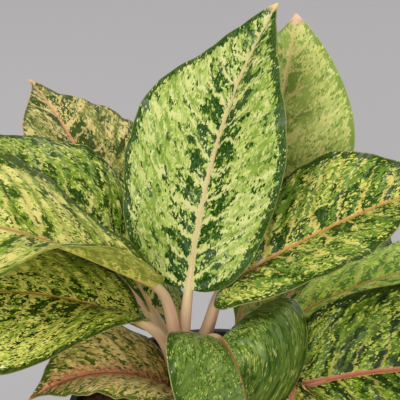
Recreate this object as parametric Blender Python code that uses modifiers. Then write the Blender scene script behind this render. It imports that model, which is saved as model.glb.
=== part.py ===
"""Potted aglaonema: leafy shoots with broad mottled blades, standing in a round nursery pot of soil.

Lengths are metres and angles are degrees. +Z is up, +Y is the back of the plant, and the origin is the
centre of the pot's underside.
"""

import math
from dataclasses import dataclass

import bmesh
import bpy
import numpy as np
from mathutils import Vector

# Pot
POT_HEIGHT = 0.165
RIM_RADIUS = 0.095
RIM_DEPTH = 0.018
RIM_PROUD = 0.0025
FOOT_RADIUS = 0.068
WALL = 0.0020
FLOOR = 0.0030
POT_SIDES = 56
DRAIN_HOLES = 8
DRAIN_RADIUS = 0.005
DRAIN_CIRCLE = 0.048
DRAIN_SIDES = 14

# Soil
SOIL_BELOW_RIM = 0.006
SOIL_HEAP = 0.003
SOIL_RINGS = 6
CLEARANCE = 0.0003

# Shoots
CANE_RADIUS = 0.0095
CANE_TIP_RADIUS = 0.0060
CANE_FOOT = 0.120
CANE_GROUND = 0.163
CANE_SIDES = 16
PETIOLE_FOOT_RADIUS = 0.0048
PETIOLE_TOP_RADIUS = 0.0026
PETIOLE_SPANS = 9

# Blades
BLADE_THICKNESS = 0.0009
KEEL_THICKNESS = 0.0032
KEEL_TIP_THICKNESS = 0.0011
KEEL_HALF_WIDTH = 0.0035
BLADE_FOOT_HALF_WIDTH = 0.0026
BLADE_TIP_HALF_WIDTH = 0.0007
CURL_HALF_WIDTH = 0.007
VEIN_CURVE = 1.5
LOBE_REACH = 0.35
ROWS = 15
COLUMNS = 8
ROW_CROWDING = 1.2
COLUMN_CROWDING = 1.35
MIDRIB_STEPS = 120

# Mean colours
LEAF_COLOURS = {
    "light": (0.42, 0.52, 0.20),
    "green": (0.20, 0.32, 0.08),
    "dark": (0.09, 0.17, 0.05),
    "olive": (0.33, 0.36, 0.11),
    "peach": (0.50, 0.36, 0.20),
}
PETIOLE_COLOUR = (0.66, 0.47, 0.33)
POT_COLOUR = (0.012, 0.012, 0.013)
SOIL_COLOUR = (0.060, 0.030, 0.018)


@dataclass(frozen=True)
class Shoot:
    """A cane and the petioles that grow from it."""

    name: str
    foot: tuple  # where its axis meets the soil's level
    top: tuple  # where its axis ends, among the youngest petioles


@dataclass(frozen=True)
class Leaf:
    """One leaf, placed by the point where its blade starts and shaped by the angles along its midrib."""

    name: str
    shoot: str
    node: float  # share of the cane's length at which its petiole leaves
    base: tuple  # start of the blade
    heading: float  # compass direction of the midrib, from +X towards +Y
    rise: float  # slope of the midrib at its start
    length: float
    width: float
    arch: float = 40.0  # how far the slope has fallen at the tip
    sweep: float = 0.0  # how far the heading has turned at the tip
    roll: float = 0.0  # lifts the left half and drops the right one
    twist: float = 0.0  # more roll, reached at the tip
    fold: tuple = (14.0, 14.0)  # how far each half, left and right, is lifted at its midrib
    opened: tuple = (0.0, 0.0)  # more lift, gained over the stretch of the midrib that turn gives
    turn: tuple = (0.15, 0.70)
    curl: tuple = (30.0, 30.0)  # how far each half bends down from midrib to margin
    lobe: float = 0.35  # how far the blade reaches back past its start
    lean: tuple = (0.42, 0.42)  # how far the veins lean towards the tip, left and right
    wave: float = 0.06  # height of the margin's waves, as a share of the half width
    waves: float = 2.3
    phase: float = 0.0
    halves: tuple = (1.0, 1.0)  # the left and right half's share of half the width
    widest: tuple = (0.44, 0.44)  # share of the length where each half is widest
    taper: tuple = (1.9, 1.9)  # how quickly each half narrows away from there
    arch_power: float = 1.2
    bumps: tuple = ()  # swellings of the margin: side, share of the length, spread, share of the half width
    bow: float = 0.35  # how early the petiole bends over into the blade
    splay: float = 0.75  # how far the petiole starts out towards its blade, 0 being along the cane
    tint: str = "green"  # its mean colour, from LEAF_COLOURS


SHOOTS = (
    Shoot("shoot_left", (-0.020, 0.000, CANE_GROUND), (-0.022, 0.003, 0.198)),
    Shoot("shoot_right", (0.028, -0.002, CANE_GROUND), (0.026, 0.000, 0.186)),
    Shoot("shoot_back", (0.018, 0.048, CANE_GROUND), (0.017, 0.050, 0.186)),
)

LEAVES = (
    Leaf("leaf_centre", "shoot_left", 1.00, (-0.017, 0.004, 0.253), 73.0, 67.0, 0.185, 0.098,
         arch=22.0, sweep=-30.0, roll=14.0, fold=(8.0, 22.0), opened=(0.0, 26.0), curl=(26.0, 30.0),
         lean=(0.1, 0.5), halves=(1.12, 0.95), widest=(0.42, 0.37), tint="light",
         bumps=((0, 0.86, 0.10, -0.20), (0, 0.72, 0.08, -0.08), (0, 0.60, 0.06, 0.03))),
    Leaf("leaf_tall", "shoot_back", 1.00, (0.015, 0.045, 0.198), 52.0, 73.0, 0.208, 0.104,
         arch=12.0, sweep=20.0, fold=(64.0, 30.0), opened=(-52.0, -18.0), curl=(30.0, 30.0), lobe=0.0,
         turn=(0.0, 0.5), widest=(0.55, 0.46), taper=(3.2, 1.9), lean=(0.2, 0.4)),
    Leaf("leaf_right", "shoot_left", 0.90, (0.004, 0.014, 0.249), 4.0, 35.0, 0.152, 0.084,
         arch=9.0, sweep=-16.0, roll=24.0, fold=(34.0, 52.0), opened=(0.0, -28.0), curl=(22.0, 22.0),
         lobe=0.8, turn=(0.0, 0.3), halves=(1.0, 0.97), widest=(0.40, 0.38), bow=0.15, splay=2.2,
         bumps=((1, 0.10, 0.06, 0.25), (1, 0.25, 0.12, -0.08))),
    Leaf("leaf_back_left", "shoot_left", 0.80, (-0.059, 0.062, 0.238), 124.5, 55.0, 0.154, 0.098,
         arch=44.0, sweep=-1.0, fold=(30.0, 6.0), curl=(26.0, 30.0), halves=(0.88, 1.06), widest=(0.36, 0.42),
         taper=(2.5, 2.5), bow=0.15, bumps=((1, 0.84, 0.12, -0.30),), tint="olive"),
    Leaf("leaf_left_behind", "shoot_left", 0.65, (-0.040, 0.018, 0.228), 154.0, 64.0, 0.182, 0.096,
         arch=82.0, sweep=16.0, fold=(28.0, 28.0), curl=(30.0, 30.0), lobe=0.1, halves=(0.72, 0.96),
         widest=(0.56, 0.48), taper=(2.6, 1.9)),
    Leaf("leaf_left", "shoot_left", 0.85, (-0.037, -0.010, 0.266), 187.0, 31.0, 0.178, 0.100,
         arch=44.0, sweep=0.0, fold=(48.0, 20.0), opened=(-84.0, 32.0), curl=(20.0, 24.0), lobe=0.6,
         turn=(0.22, 0.66), arch_power=2.0, bow=0.2, bumps=((1, 0.29, 0.08, 0.16),), tint="light"),
    Leaf("leaf_left_low", "shoot_left", 0.45, (-0.047, -0.015, 0.244), 188.0, 28.0, 0.165, 0.096,
         arch=44.0, sweep=4.0, fold=(44.0, 36.0), opened=(-74.0, -10.0), curl=(30.0, 24.0), lobe=0.38,
         turn=(0.05, 0.42), widest=(0.35, 0.44), tint="olive"),
    Leaf("leaf_low_left", "shoot_left", 0.20, (-0.030, -0.015, 0.193), 204.0, 44.0, 0.099, 0.080,
         arch=74.0, sweep=0.0, fold=(26.0, 34.0), curl=(30.0, 30.0), lobe=0.6, halves=(1.0, 1.10),
         widest=(0.32, 0.28), taper=(2.6, 2.6), tint="peach"),
    Leaf("leaf_front", "shoot_left", 0.55, (0.002, -0.020, 0.233), -66.0, 6.0, 0.150, 0.092,
         arch=60.0, sweep=-50.0, fold=(32.0, 34.0), opened=(-102.0, -20.0), curl=(62.0, 36.0), lobe=0.75,
         halves=(1.36, 0.86), turn=(0.09, 0.26), widest=(0.16, 0.24), taper=(2.8, 2.4),
         bumps=((0, 0.37, 0.14, -0.55),), tint="dark"),
    Leaf("leaf_right_low", "shoot_right", 0.90, (0.054, -0.012, 0.193), -4.0, 21.0, 0.175, 0.106,
         arch=44.0, sweep=-8.0, roll=34.0, fold=(32.0, 20.0), curl=(22.0, 30.0), lobe=0.55,
         widest=(0.36, 0.44)),
    Leaf("leaf_right_behind", "shoot_back", 0.70, (0.048, 0.040, 0.208), 14.0, 28.0, 0.160, 0.078,
         arch=50.0, sweep=0.0, roll=-4.0, fold=(14.0, 14.0), curl=(30.0, 30.0), tint="olive"),
    Leaf("leaf_front_low", "shoot_right", 0.70, (0.046, -0.012, 0.196), -90.0, -6.0, 0.092, 0.060,
         arch=22.0, sweep=4.0, fold=(10.0, -10.0), curl=(24.0, 20.0), halves=(0.70, 1.0), tint="peach"),
    Leaf("leaf_back", "shoot_back", 0.85, (0.020, 0.068, 0.232), 98.0, 52.0, 0.165, 0.088,
         arch=64.0, sweep=-10.0, roll=6.0, fold=(14.0, 14.0), curl=(30.0, 30.0)),
    Leaf("leaf_back_right", "shoot_back", 0.55, (0.040, 0.068, 0.190), 56.0, 26.0, 0.150, 0.080,
         arch=50.0, sweep=6.0, fold=(16.0, 16.0), curl=(30.0, 30.0), tint="dark"),
    Leaf("leaf_back_low", "shoot_back", 0.30, (-0.022, 0.066, 0.184), 146.0, 26.0, 0.160, 0.084,
         arch=46.0, sweep=6.0, fold=(16.0, 16.0), curl=(30.0, 30.0)),
    Leaf("leaf_low_front", "shoot_left", 0.10, (-0.036, -0.034, 0.182), -128.0, 18.0, 0.130, 0.080,
         arch=56.0, sweep=0.0, fold=(16.0, 16.0), curl=(30.0, 30.0), tint="olive"),
)


def unit(vector):
    """The vector at length one."""
    return vector / np.linalg.norm(vector)


def blend(first, last, share):
    """The value that lies this share of the way from first to last."""
    return first + (last - first) * share


def smoothstep(share):
    """An even rise from 0 to 1, held outside that span."""
    share = np.clip(share, 0.0, 1.0)
    return share * share * (3.0 - 2.0 * share)


def midrib(leaf, t):
    """Points along the midrib, with the direction of growth, the left side and the upper side there."""
    fine = np.linspace(0.0, 1.0, MIDRIB_STEPS + 1)
    rise = np.radians(leaf.rise - leaf.arch * fine**leaf.arch_power)
    heading = np.radians(leaf.heading + leaf.sweep * fine)
    along = np.stack([np.cos(heading) * np.cos(rise), np.sin(heading) * np.cos(rise), np.sin(rise)], 1)
    steps = (along[1:] + along[:-1]) * 0.5 * leaf.length / MIDRIB_STEPS
    points = np.array(leaf.base) + np.vstack([np.zeros(3), np.cumsum(steps, 0)])
    left = np.stack([-np.sin(heading), np.cos(heading), np.zeros_like(heading)], 1)
    up = np.cross(along, left)
    roll = np.radians(leaf.roll + leaf.twist * fine)[:, None]
    left, up = left * np.cos(roll) + up * np.sin(roll), up * np.cos(roll) - left * np.sin(roll)
    return tuple(
        np.stack([np.interp(t, fine, values[:, k]) for k in range(3)], -1)
        for values in (points, along, left, up)
    )


def outline(leaf, t, side):
    """Half width of the left (side 0) or right (side 1) half, from a round foot to a drawn-out tip."""
    widest, taper = np.choose(side, leaf.widest), np.choose(side, leaf.taper)
    foot = (np.maximum(t, 0.0) / widest) ** (taper * widest)
    tip = (np.maximum(1.0 - t, 0.0) / (1.0 - widest)) ** (taper * (1.0 - widest))
    swell = 1.0
    for bump_side, place, spread, share in leaf.bumps:
        swell = swell + share * np.exp(-(((t - place) / spread) ** 2)) * (side == bump_side)
    return np.choose(side, leaf.halves) * leaf.width / 2.0 * foot * tip * swell


def blade_points(leaf, t, s):
    """Upper surface at t along the midrib and s across, from the right margin at -1 to the left at 1.

    Also gives the upward direction square to the blade there, within the cross-section.
    """
    centre, along, left, up = midrib(leaf, t)
    reach = np.abs(s)
    side = np.where(s < 0.0, 1, 0)
    full = outline(leaf, t, side)
    half = full + blend(BLADE_FOOT_HALF_WIDTH, BLADE_TIP_HALF_WIDTH, t)
    turned_by = smoothstep((t - leaf.turn[0]) / (leaf.turn[1] - leaf.turn[0]))
    lifts = [np.radians(leaf.fold[k] + leaf.opened[k] * turned_by) for k in (0, 1)]
    flatter = np.where(t < 0.5, 1.0, np.minimum(half / CURL_HALF_WIDTH, 1.0))
    bends = [np.radians(leaf.curl[k]) * flatter + 1e-6 for k in (0, 1)]
    lift, bend = np.choose(side, lifts), np.choose(side, bends)
    slope = lift - bend * reach
    across = (np.sin(lift) - np.sin(slope)) / bend * half * np.sign(s)
    height = (np.cos(slope) - np.cos(lift)) / bend * half
    ripple = np.sin(2.0 * math.pi * (leaf.waves * t + leaf.phase + 0.37 * side))
    height = height + leaf.wave * full * reach**2.2 * ripple
    lean = blend(-leaf.lobe, np.choose(side, leaf.lean), smoothstep(t / LOBE_REACH))
    forward = lean * full * reach**VEIN_CURVE
    points = centre + along * forward[..., None] + left * across[..., None] + up * height[..., None]
    leftness = smoothstep(0.5 + s * half / (2.0 * KEEL_HALF_WIDTH))
    tilt = blend(bends[1] * reach - lifts[1], lifts[0] - bends[0] * reach, leftness)
    upward = up * np.cos(tilt)[..., None] - left * np.sin(tilt)[..., None]
    return points, upward


def thickness(leaf, t, s):
    """Blade thickness, swelling to a keel under the midrib that thins towards the tip."""
    side = np.where(s < 0.0, 1, 0)
    off = np.abs(s) * (outline(leaf, t, side) + blend(BLADE_FOOT_HALF_WIDTH, BLADE_TIP_HALF_WIDTH, t))
    keel = blend(KEEL_THICKNESS, KEEL_TIP_THICKNESS, t) - BLADE_THICKNESS
    return BLADE_THICKNESS + keel * np.exp(-((off / KEEL_HALF_WIDTH) ** 2))


def material(name, colour, roughness):
    """A plain Principled material of no metal."""
    made = bpy.data.materials.new(name)
    made.use_nodes = True
    shader = made.node_tree.nodes["Principled BSDF"]
    shader.inputs["Base Color"].default_value = (*colour, 1.0)
    shader.inputs["Roughness"].default_value = roughness
    shader.inputs["Metallic"].default_value = 0.0
    made.diffuse_color = (*colour, 1.0)
    return made


def add_object(name, data, collection, finish):
    """An object in the collection, with its material."""
    made = bpy.data.objects.new(name, data)
    collection.objects.link(made)
    made.data.materials.append(finish)
    return made


def face_outwards(shape):
    """Turns the faces of a closed shape to face out, which a thin one needs its signed volume for."""
    bmesh.ops.recalc_face_normals(shape, faces=shape.faces)
    if shape.calc_volume(signed=True) < 0.0:
        bmesh.ops.reverse_faces(shape, faces=shape.faces)


def build_blade(leaf, collection, finish):
    """A blade: a flat grid and its extruded copy, laid onto the leaf's upper and lower surface.

    The object's origin is the point where the blade starts.
    """
    shape = bmesh.new()
    bmesh.ops.create_grid(shape, x_segments=COLUMNS, y_segments=ROWS, size=1.0)
    bmesh.ops.triangulate(shape, faces=shape.faces)
    copy = bmesh.ops.extrude_face_region(shape, geom=shape.faces[:], use_keep_orig=True)["geom"]
    lower = {vertex for vertex in copy if isinstance(vertex, bmesh.types.BMVert)}
    flat = np.array([vertex.co for vertex in shape.verts])
    s = np.sign(flat[:, 0]) * np.abs(flat[:, 0]) ** COLUMN_CROWDING
    t = ((flat[:, 1] + 1.0) / 2.0) ** ROW_CROWDING
    points, upward = blade_points(leaf, t, s)
    depth = thickness(leaf, t, s) * np.array([vertex in lower for vertex in shape.verts])
    for vertex, point in zip(shape.verts, points - upward * depth[:, None] - np.array(leaf.base)):
        vertex.co = point
    face_outwards(shape)
    mesh = bpy.data.meshes.new(leaf.name)
    shape.to_mesh(mesh)
    shape.free()
    mesh.shade_smooth()
    blade = add_object(leaf.name, mesh, collection, finish)
    blade.location = leaf.base
    return blade


def tube(name, points, radii, collection, finish, spline="POLY"):
    """A round rod of changing radius through the points."""
    curve = bpy.data.curves.new(name, "CURVE")
    curve.dimensions = "3D"
    curve.bevel_depth = 1.0
    curve.bevel_resolution = 2
    curve.use_fill_caps = True
    line = curve.splines.new(spline)
    line.points.add(len(points) - 1)
    for spot, point, radius in zip(line.points, points, radii):
        spot.co = (*point, 1.0)
        spot.radius = radius
    return add_object(name, curve, collection, finish)


def as_mesh(rod, collection):
    """The rod as a closed mesh object, its caps welded on."""
    bpy.context.view_layer.update()
    evaluated = rod.evaluated_get(bpy.context.evaluated_depsgraph_get())
    mesh = bpy.data.meshes.new_from_object(evaluated)
    shape = bmesh.new()
    shape.from_mesh(mesh)
    bmesh.ops.remove_doubles(shape, verts=shape.verts, dist=1e-6)
    face_outwards(shape)
    shape.to_mesh(mesh)
    shape.free()
    made = bpy.data.objects.new(rod.name + "_solid", mesh)
    made.matrix_world = rod.matrix_world
    collection.objects.link(made)
    bpy.data.objects.remove(rod)
    return made


def petiole_path(leaf, shoot):
    """Centre line of a petiole, from inside the cane to the foot of its blade."""
    foot, top = np.array(shoot.foot), np.array(shoot.top)
    start = blend(foot, top, leaf.node)
    centre, along, _, up = (values[0] for values in midrib(leaf, np.array([0.0])))
    end = centre - up * KEEL_THICKNESS / 2.0 - along * CLEARANCE * 2.0
    span = np.linalg.norm(end - start)
    outward = unit(blend(unit(top - foot), unit(end - start), leaf.splay))
    first = start + outward * span * 0.4
    second = end - along * span * leaf.bow
    share = np.linspace(0.0, 1.0, PETIOLE_SPANS + 1)[:, None]
    rest = 1.0 - share
    return rest**3 * start + 3 * rest**2 * share * first + 3 * rest * share**2 * second + share**3 * end


def build_shoot(shoot, leaves, collection, finish):
    """A cane with its petioles grown out of it, as one solid."""
    parts = bpy.data.collections.new(shoot.name + "_parts")
    bpy.context.scene.collection.children.link(parts)
    foot, top = np.array(shoot.foot), np.array(shoot.top)
    rooted = foot + (foot - top) * (foot[2] - CANE_FOOT) / (top[2] - foot[2])
    shares = np.linspace(0.0, 1.0, 7)
    line = [blend(rooted, top, share) for share in shares]
    radii = [blend(CANE_RADIUS, CANE_TIP_RADIUS, share**3) for share in shares]
    cane = as_mesh(tube(shoot.name, line, radii, parts, finish), collection)
    cane.name = shoot.name
    for leaf in leaves:
        path = petiole_path(leaf, shoot)
        radii = [blend(PETIOLE_FOOT_RADIUS, PETIOLE_TOP_RADIUS, k / PETIOLE_SPANS) for k in range(len(path))]
        as_mesh(tube(leaf.name + "_petiole", path, radii, parts, finish), parts)
    join = cane.modifiers.new("join", "BOOLEAN")
    join.operation = "UNION"
    join.solver = "EXACT"
    join.operand_type = "COLLECTION"
    join.collection = parts
    bpy.context.view_layer.update()
    whole = bpy.data.meshes.new_from_object(cane.evaluated_get(bpy.context.evaluated_depsgraph_get()))
    cane.modifiers.clear()
    cane.data = whole
    for part in list(parts.objects):
        bpy.data.objects.remove(part)
    bpy.data.collections.remove(parts)
    return cane


def turned(name, profile, collection, finish):
    """A solid of revolution about Z from a profile of (radius, height) points."""
    mesh = bpy.data.meshes.new(name)
    mesh.from_pydata([(r, 0.0, z) for r, z in profile], [(k, k + 1) for k in range(len(profile) - 1)], [])
    made = add_object(name, mesh, collection, finish)
    spin = made.modifiers.new("turn", "SCREW")
    spin.steps = POT_SIDES
    spin.render_steps = POT_SIDES
    spin.use_merge_vertices = True
    spin.merge_threshold = 0.00005
    spin.use_smooth_shade = True
    return made


def cutter(name, radius, start, end, sides, collection):
    """A round bar from start to end that cuts a hole and isn't rendered itself."""
    start, end = Vector(start), Vector(end)
    mesh = bpy.data.meshes.new(name)
    bar = bmesh.new()
    bmesh.ops.create_cone(bar, cap_ends=True, segments=sides, radius1=radius, radius2=radius,
                          depth=(end - start).length)
    bar.to_mesh(mesh)
    bar.free()
    made = bpy.data.objects.new(name, mesh)
    made.location = (start + end) / 2.0
    made.rotation_mode = "QUATERNION"
    made.rotation_quaternion = (end - start).to_track_quat("Z", "Y")
    made.hide_render = True
    made.display_type = "WIRE"
    collection.objects.link(made)
    return made


def bore(solid, cutters):
    """Cuts every object of a collection out of the solid."""
    cut = solid.modifiers.new("holes", "BOOLEAN")
    cut.operation = "DIFFERENCE"
    cut.operand_type = "COLLECTION"
    cut.collection = cutters
    cut.solver = "EXACT"


def helper_collection(name):
    """A collection for cutters, apart from the plant's own."""
    made = bpy.data.collections.new(name)
    bpy.context.scene.collection.children.link(made)
    return made


def inner_radius(z):
    """Radius of the pot's inner wall at a height."""
    return blend(FOOT_RADIUS, RIM_RADIUS - RIM_PROUD, z / POT_HEIGHT) - WALL


def build_pot(collection, finish):
    """A moulded pot with a rim band, a flat floor and drainage holes."""
    wall_top = RIM_RADIUS - RIM_PROUD
    band = POT_HEIGHT - RIM_DEPTH
    under_band = blend(FOOT_RADIUS, wall_top, band / POT_HEIGHT)
    profile = [
        (0.0, 0.0),
        (FOOT_RADIUS - 0.001, 0.0),
        (FOOT_RADIUS, 0.001),
        (under_band, band),
        (RIM_RADIUS - 0.001, band),
        (RIM_RADIUS, band + 0.001),
        (RIM_RADIUS, POT_HEIGHT - 0.0006),
        (RIM_RADIUS - 0.0006, POT_HEIGHT),
        (inner_radius(POT_HEIGHT) + 0.0004, POT_HEIGHT),
        (inner_radius(POT_HEIGHT), POT_HEIGHT - 0.0006),
        (inner_radius(FLOOR), FLOOR),
        (0.0, FLOOR),
    ]
    pot = turned("pot", profile, collection, finish)
    drains = helper_collection("drain_cutters")
    for k in range(DRAIN_HOLES):
        angle = 2.0 * math.pi * k / DRAIN_HOLES
        x, y = DRAIN_CIRCLE * math.cos(angle), DRAIN_CIRCLE * math.sin(angle)
        cutter(f"drain_{k}", DRAIN_RADIUS, (x, y, -FLOOR), (x, y, 2.0 * FLOOR), DRAIN_SIDES, drains)
    bore(pot, drains)
    return pot


def soil_height(r):
    """Height of the soil at a distance from the pot's axis."""
    return POT_HEIGHT - SOIL_BELOW_RIM + SOIL_HEAP * (1.0 - (r / RIM_RADIUS) ** 2)


def build_soil(collection, finish):
    """Soil that fills the pot, heaped a little, with a plain hole for each cane."""
    low = FLOOR + CLEARANCE
    edge = inner_radius(POT_HEIGHT - SOIL_BELOW_RIM) - CLEARANCE
    profile = [(0.0, low), (inner_radius(low) - CLEARANCE, low), (edge, soil_height(edge))]
    for k in range(1, SOIL_RINGS + 1):
        r = edge * (1.0 - k / SOIL_RINGS)
        profile.append((r, soil_height(r)))
    soil = turned("soil", profile, collection, finish)
    canes = helper_collection("cane_cutters")
    for shoot in SHOOTS:
        foot, top = np.array(shoot.foot), np.array(shoot.top)
        lean = (top - foot) / (top[2] - foot[2])
        start = foot + lean * (CANE_FOOT - CLEARANCE - foot[2])
        cutter(shoot.name + "_hole", CANE_RADIUS + CLEARANCE * 2.0, start, top, CANE_SIDES, canes)
    bore(soil, canes)
    return soil


def hold_together(collection):
    """Parents every piece to one empty at the origin, so that the plant moves as a whole."""
    root = bpy.data.objects.new("plant_root", None)
    root.empty_display_size = FOOT_RADIUS
    for piece in collection.objects:
        piece.parent = root
    collection.objects.link(root)


def main():
    """Clears the scene and builds the plant in its pot."""
    for old in list(bpy.data.objects):
        bpy.data.objects.remove(old)
    plant = bpy.data.collections.new("potted_aglaonema")
    bpy.context.scene.collection.children.link(plant)
    build_pot(plant, material("pot_plastic", POT_COLOUR, 0.45))
    build_soil(plant, material("soil_mix", SOIL_COLOUR, 0.95))
    for shoot in SHOOTS:
        leaves = [leaf for leaf in LEAVES if leaf.shoot == shoot.name]
        build_shoot(shoot, leaves, plant, material(shoot.name + "_skin", PETIOLE_COLOUR, 0.45))
    for leaf in LEAVES:
        build_blade(leaf, plant, material(leaf.name + "_blade", LEAF_COLOURS[leaf.tint], 0.40))
    hold_together(plant)


if __name__ == "__main__":
    main()
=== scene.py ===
"""Potted aglaonema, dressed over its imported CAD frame.

Broad mottled leaves on creamy petioles rise from three canes in a black nursery pot of soil. Every leaf
repeats the form of its CAD solid on a fine grid and adds the quilting between its side veins, the midrib's
channel and a thin wavy margin. Lengths are metres and angles degrees unless a comment says otherwise.
"""

import logging
import math
import random
from dataclasses import dataclass
from enum import Enum
from typing import Callable, Iterable, Optional, Union

import bmesh
import bpy
import numpy as np
from mathutils import Matrix, Vector, noise


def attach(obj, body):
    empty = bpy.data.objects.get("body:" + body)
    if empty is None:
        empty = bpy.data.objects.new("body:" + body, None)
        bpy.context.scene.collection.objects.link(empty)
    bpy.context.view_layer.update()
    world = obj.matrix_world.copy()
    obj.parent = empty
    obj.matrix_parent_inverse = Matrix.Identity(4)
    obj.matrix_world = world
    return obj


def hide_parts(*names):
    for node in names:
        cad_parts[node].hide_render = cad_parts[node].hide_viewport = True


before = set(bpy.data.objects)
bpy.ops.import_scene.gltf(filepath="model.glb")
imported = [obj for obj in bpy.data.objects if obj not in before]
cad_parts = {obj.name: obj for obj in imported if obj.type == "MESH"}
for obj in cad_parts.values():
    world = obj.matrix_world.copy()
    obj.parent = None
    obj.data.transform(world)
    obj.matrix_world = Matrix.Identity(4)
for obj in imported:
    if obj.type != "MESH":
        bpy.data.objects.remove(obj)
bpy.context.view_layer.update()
MM = 0.001

log = logging.getLogger("aglaonema")

Colour = tuple[float, float, float]
Point = tuple[float, float, float]
Pair = tuple[float, float]
Values = Union[float, np.ndarray]


class Slot(Enum):
    """The record's material slots."""

    POT = "pot"
    SOIL = "soil"
    PETIOLE = "petiole"
    LIGHT = "leaf_light"
    GREEN = "leaf_green"
    DARK = "leaf_dark"
    OLIVE = "leaf_olive"
    PEACH = "leaf_peach"


def srgb(red: int, green: int, blue: int) -> Colour:
    """A display colour of 0 to 255 as the linear colour that shaders take.

    Args:
        red: its red.
        green: its green.
        blue: its blue.

    Returns:
        The linear colour.
    """
    return tuple(
        c / 3294.6 if c <= 10.31 else ((c / 255.0 + 0.055) / 1.055) ** 2.4 for c in (red, green, blue)
    )


def toward(low: Colour, high: Colour, share: float) -> Colour:
    """A colour this share of the way from one to another."""
    return tuple(a + (b - a) * share for a, b in zip(low, high))


def unit(vector: np.ndarray) -> np.ndarray:
    """The vector at length one."""
    return vector / np.linalg.norm(vector)


def blend(first: Values, last: Values, share: Values) -> Values:
    """The value that lies this share of the way from first to last."""
    return first + (last - first) * share


def smoothstep(share: Values) -> Values:
    """An even rise from 0 to 1, held outside that span."""
    share = np.clip(share, 0.0, 1.0)
    return share * share * (3.0 - 2.0 * share)


class Socket:
    """A node's output that can be used in Python sums, each of which adds a Math node."""

    def __init__(self, graph: "Graph", end: bpy.types.NodeSocket) -> None:
        """Wraps one output of a node in the graph."""
        self.graph = graph
        self.end = end

    def __add__(self, other: "Feed") -> "Socket":
        """The sum."""
        return self.graph.maths("ADD", self, other)

    def __radd__(self, other: "Feed") -> "Socket":
        """The sum, this one second."""
        return self.graph.maths("ADD", other, self)

    def __sub__(self, other: "Feed") -> "Socket":
        """The difference."""
        return self.graph.maths("SUBTRACT", self, other)

    def __rsub__(self, other: "Feed") -> "Socket":
        """The difference, this one second."""
        return self.graph.maths("SUBTRACT", other, self)

    def __mul__(self, other: "Feed") -> "Socket":
        """The product."""
        return self.graph.maths("MULTIPLY", self, other)

    def __rmul__(self, other: "Feed") -> "Socket":
        """The product, this one second."""
        return self.graph.maths("MULTIPLY", other, self)

    def __truediv__(self, other: "Feed") -> "Socket":
        """The quotient."""
        return self.graph.maths("DIVIDE", self, other)

    def __rtruediv__(self, other: "Feed") -> "Socket":
        """The quotient, this one second."""
        return self.graph.maths("DIVIDE", other, self)

    def __abs__(self) -> "Socket":
        """The value without its sign."""
        return self.graph.maths("ABSOLUTE", self)


Feed = Union[Socket, float, Colour]


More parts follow.
